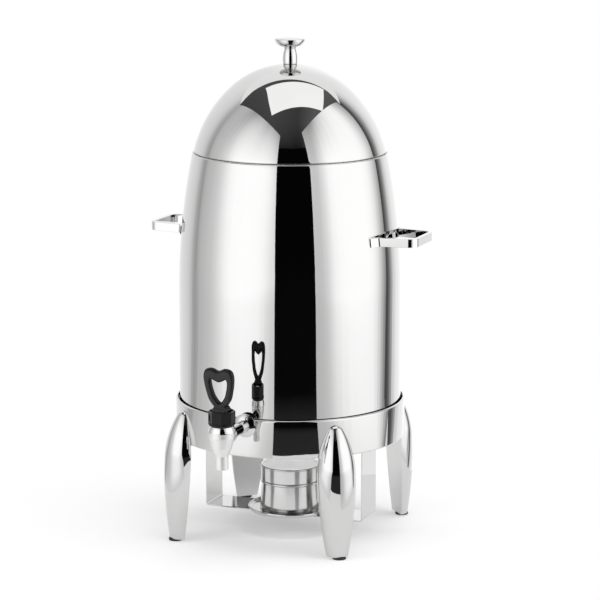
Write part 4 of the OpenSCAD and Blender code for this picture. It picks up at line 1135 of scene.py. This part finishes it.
# Rows of a scrim: bearing, then tones on the floor, at the wall's foot, at the object's height and at the top
LEFT_TONES = [
    (-111.4, 0.5, 0.55, 0.6, 0.6), (-105, 0.68, 0.7, 0.73, 0.68), (-95, 0.76, 0.8, 0.81, 0.68),
    (-88, 0.82, 0.86, 0.93, 0.6), (-81, 0.9, 1.02, 1.1, 0.52), (-75, 1.0, 1.22, 1.33, 0.46),
    (-69, 1.15, 1.42, 1.5, 0.5), (-62, 1.3, 1.55, 1.57, 0.6), (-50, 1.34, 1.58, 1.58, 0.7),
    (-38, 1.3, 1.56, 1.58, 0.6), (-30, 1.12, 1.5, 1.56, 0.66), (-25, 0.95, 1.38, 1.5, 0.64),
    (-20, 0.86, 1.2, 1.36, 0.6), (-15.4, 0.8, 1.1, 1.15, 0.5),
]
RIGHT_TONES = [
    (25, 0.68, 0.82, 0.95, 0.56), (28, 0.7, 0.8, 0.88, 0.53), (33, 0.74, 0.84, 0.92, 0.5),
    (38, 0.82, 1.0, 1.15, 0.44), (42, 0.95, 1.2, 1.34, 0.42), (46, 1.08, 1.4, 1.52, 0.45),
    (52, 1.22, 1.52, 1.58, 0.62), (60, 1.34, 1.57, 1.58, 0.86), (70, 1.38, 1.58, 1.58, 1.1),
    (85, 1.36, 1.58, 1.58, 1.35), (93, 1.2, 1.48, 1.55, 1.4), (99, 0.98, 1.28, 1.44, 1.3),
    (105, 0.66, 0.92, 1.2, 0.95), (110, 0.4, 0.6, 0.95, 0.7), (114.9, 0.2, 0.35, 0.7, 0.5),
]
# Rows of a gap between the scrims: bearing, then tones below and at the top
LEFT_GAP_TONES = [
    (-170, 1.0, 1.15), (-140, 0.97, 1.1), (-131, 0.93, 1.0), (-124, 0.82, 0.9), (-118, 0.58, 0.7),
    (-113, 0.48, 0.6), (-111, 0.48, 0.6),
]
RIGHT_GAP_TONES = [
    (112, 0.1, 0.1), (117, 0.1, 0.1), (120, 0.2, 0.3), (124, 0.4, 0.6), (130, 0.9, 1.0), (138, 1.15, 1.15),
    (149, 1.2, 1.15), (165, 1.3, 1.15), (190, 1.0, 1.15),
]
# Near edge of the dark table: bearing and distance. Its tones: distance and tone, after that edge
TABLE_EDGE = [(-15.4, 0.49), (4, 0.495), (14, 0.5), (25.0, 0.5)]
TABLE_EDGE_TONE = 0.03
TABLE_TONES = [(0.85, 0.026), (1.05, 0.003), (5.2, ROOM_TONE)]
# Beams of the dark ceiling: place to the right and tone. Along a beam: nearness and share of its tone
CEILING_BEAMS = [(-4.5, 0.05), (-1.2, 0.1), (0.5, 0.07), (1.5, 0.16), (4.5, 0.05)]
CEILING_SHARES = [(-1.35, 1.0), (2.0, 0.8), (5.5, 0.05)]
BACK_CEILING = (-BACK_WALL, -1.36)
BACK_CEILING_TONE = 1.15
# Left and right corners of the overhead softbox: shares of its height to the right and near, and tone
SOFTBOX_CORNERS = [
    [(-0.386, 0.447, 1.38), (-0.409, -0.289, 1.38)], [(0.66, 0.19, 1.42), (0.581, -0.418, 1.36)],
]


def studio_point(right, near, z):
    """A point of the studio: to the camera's right, towards the camera and above the floor."""
    return TO_RIGHT * right + TO_CAMERA * near + Vector((0, 0, z))


def bearing_point(bearing, distance, z):
    a = radians(bearing)
    return studio_point(distance * sin(a), distance * cos(a), z)


def edge_bearing(bearing):
    """Bearing of a sweep's edge beside the object, which is drawn in at the right rear."""
    return bearing - max(0, min((bearing - DRAWN_FROM) * DRAW_ON, (DRAWN_TO - bearing) * DRAW_OFF))


def card_finish():
    f = finish_named("studio_card")
    tone = f.node("ShaderNodeVertexColor", {"layer_name": "tone"})
    light = f.node("ShaderNodeEmission", None, tone, 1.0)
    f.node("ShaderNodeOutputMaterial", None, light)
    return f.owner


def card(name, columns, finish):
    """A card of the studio that only mirrors show. Each column is a list of points and their tones."""
    mesh = bpy.data.meshes.new(name)
    rows = len(columns[0])
    faces = [
        (rows * i + k, rows * (i + 1) + k, rows * (i + 1) + k + 1, rows * i + k + 1)
        for i in range(len(columns) - 1) for k in range(rows - 1)
    ]
    places = [place for column in columns for place in column]
    mesh.from_pydata([point for point, tone in places], [], faces)
    tones = mesh.color_attributes.new("tone", "FLOAT_COLOR", "POINT")
    for spot, (point, tone) in zip(tones.data, places):
        spot.color = grey(tone)
    piece = new_piece(name, mesh, finish)
    for ray in ("camera", "diffuse", "shadow", "volume_scatter"):
        setattr(piece, "visible_" + ray, False)


def scrim(name, finish, tones, facing, distance, ends):
    """A sweep of paper that runs out over the floor and up a wall square to a bearing.

    The wall's ends are two bearings at its foot and two at its top.
    """
    def across(bearing):
        return tan(radians(bearing - facing))

    a = radians(facing)
    low, high = ([across(b) for b in pair] for pair in ends)
    columns = []
    for bearing, floor, *greys in tones:
        share = (across(bearing) - low[0]) / (low[1] - low[0])
        beside = edge_bearing(bearing)
        column = [(bearing_point(beside, SWEEP_START, SCRIM_LIFT), FLOOR_TONE)]
        column += [(bearing_point(beside, SWEEP_FULL, SCRIM_LIFT), floor)]
        for z, tone in zip((SCRIM_LIFT, WALL_MIDDLE, CEILING_Z), greys):
            first, last = (b + (t - b) * z / CEILING_Z for b, t in zip(low, high))
            reach = distance * (first + (last - first) * share)
            right = distance * sin(a) + reach * cos(a)
            near = distance * cos(a) - reach * sin(a)
            column.append((studio_point(right, near, z), tone))
        columns.append(column)
    card(name, columns, finish)


def bent_sweep(name, finish, tones):
    """A sweep that runs out over the floor and up a round wall behind the scrims."""
    columns = []
    for bearing, below, top in tones:
        column = [(bearing_point(edge_bearing(bearing), SWEEP_START, GAP_LIFT), below)]
        for z, tone in ((GAP_LIFT, below), (WALL_MIDDLE, below), (CEILING_Z, top)):
            column.append((bearing_point(bearing, BACK_WALL, z), tone))
        columns.append(column)
    card(name, columns, finish)


def make_studio():
    finish = card_finish()
    left_ends, right_ends = ((-111.4, -15.4), (-111.4, -15.2)), ((25.0, 114.9), (18.1, 112.5))
    scrim("left_scrim", finish, LEFT_TONES, facing=-63.6, distance=2.16, ends=left_ends)
    scrim("right_scrim", finish, RIGHT_TONES, facing=65.3, distance=2.0, ends=right_ends)
    bent_sweep("left_gap", finish, LEFT_GAP_TONES)
    bent_sweep("right_gap", finish, RIGHT_GAP_TONES)
    room = [[(bearing_point(b, ROOM_REACH, z), ROOM_TONE) for z in (0, ROOM_TOP)] for b in (-18, 4, 28)]
    card("dark_room", room, finish)
    table = [
        [(bearing_point(b, d, TABLE_LIFT), tone) for d, tone in [(start, TABLE_EDGE_TONE)] + TABLE_TONES]
        for b, start in TABLE_EDGE
    ]
    card("dark_table", table, finish)
    ceiling = [
        [(studio_point(x, near, CEILING_Z), tone * share) for near, share in CEILING_SHARES]
        for x, tone in CEILING_BEAMS
    ]
    card("dark_ceiling", ceiling, finish)
    back = [
        [(studio_point(x, near, CEILING_Z), BACK_CEILING_TONE) for near in BACK_CEILING]
        for x in (CEILING_BEAMS[0][0], CEILING_BEAMS[-1][0])
    ]
    card("back_ceiling", back, finish)
    softbox = [
        [(studio_point(x * SOFTBOX_OVER, near * SOFTBOX_OVER, SOFTBOX_Z), tone) for x, near, tone in pair]
        for pair in SOFTBOX_CORNERS
    ]
    card("overhead_softbox", softbox, finish)


def make_floor():
    f = finish_named("studio_floor")
    paint = f.node("ShaderNodeBsdfDiffuse", None, grey(0.96))
    white = f.node("ShaderNodeEmission", None, grey(1.0), 1.0)
    # Painted light: the floor also glows white, a quarter at the object and fully from 0.6 m out, which
    # lightens the object's shadow.
    share = 0.25 + f.length(f.spot()).over(0.0, 0.6) * 0.75
    f.node("ShaderNodeOutputMaterial", None, f.node("ShaderNodeMixShader", None, share, paint, white))
    mesh = bpy.data.meshes.new("studio_floor")
    corners = [(x * FLOOR_REACH, y * FLOOR_REACH, 0) for x, y in ((-1, -1), (1, -1), (1, 1), (-1, 1))]
    mesh.from_pydata(corners, [], [(0, 1, 2, 3)])
    new_piece("studio_floor", mesh, f.owner)


def make_light():
    world = bpy.data.worlds.new("studio")
    bpy.context.scene.world = world
    f = Finish(world)
    rays = ("Is Camera Ray", "Is Glossy Ray", "Is Transmission Ray")
    camera, glossy, through = (f.node("ShaderNodeLightPath", out=ray) for ray in rays)
    fill, white = (f.node("ShaderNodeBackground", None, grey(1.0), strength) for strength in (0.62, 1.0))
    blend = f.node("ShaderNodeMixShader", None, camera + glossy + through, fill, white)
    f.node("ShaderNodeOutputWorld", None, blend)
    middle = Vector((0, 0, 0.25))
    burner_wall = studio_point(0, -0.04, 0.085)
    for name, right, near, z, size, power, target in (
        ("overhead", 0.3, 0.2, 2.6, 1.6, 26, middle),
        ("left_bank", -2.0, 1.0, 1.2, 1.5, 14, middle),
        ("right_bank", 1.9, 0.9, 1.2, 1.5, 14, middle),
        ("burner_lamp", 0, 0.03, 0.14, 0.06, 0.08, burner_wall),
    ):
        lamp = bpy.data.lights.new(name, "AREA")
        lamp.size = size
        lamp.energy = power
        holder = put_in_scene(name, lamp)
        holder.location = studio_point(right, near, z)
        holder.rotation_euler = (target - holder.location).to_track_quat("-Z", "Y").to_euler()
        holder.visible_glossy = False


make_camera()
make_vessel()
make_ring()
make_lid()
make_knob()
make_handles()
make_legs()
make_burner()
make_tap()
make_rosette()
stand_for("tap_bonnet", rounded_copy("tap_bonnet", BONNET_EDGE, 3), sharp=None)
make_lever()
make_spring()
make_screws()
dress_the_rest()
make_studio()
make_floor()
make_light()
bpy.context.scene.view_settings.view_transform = "Standard"
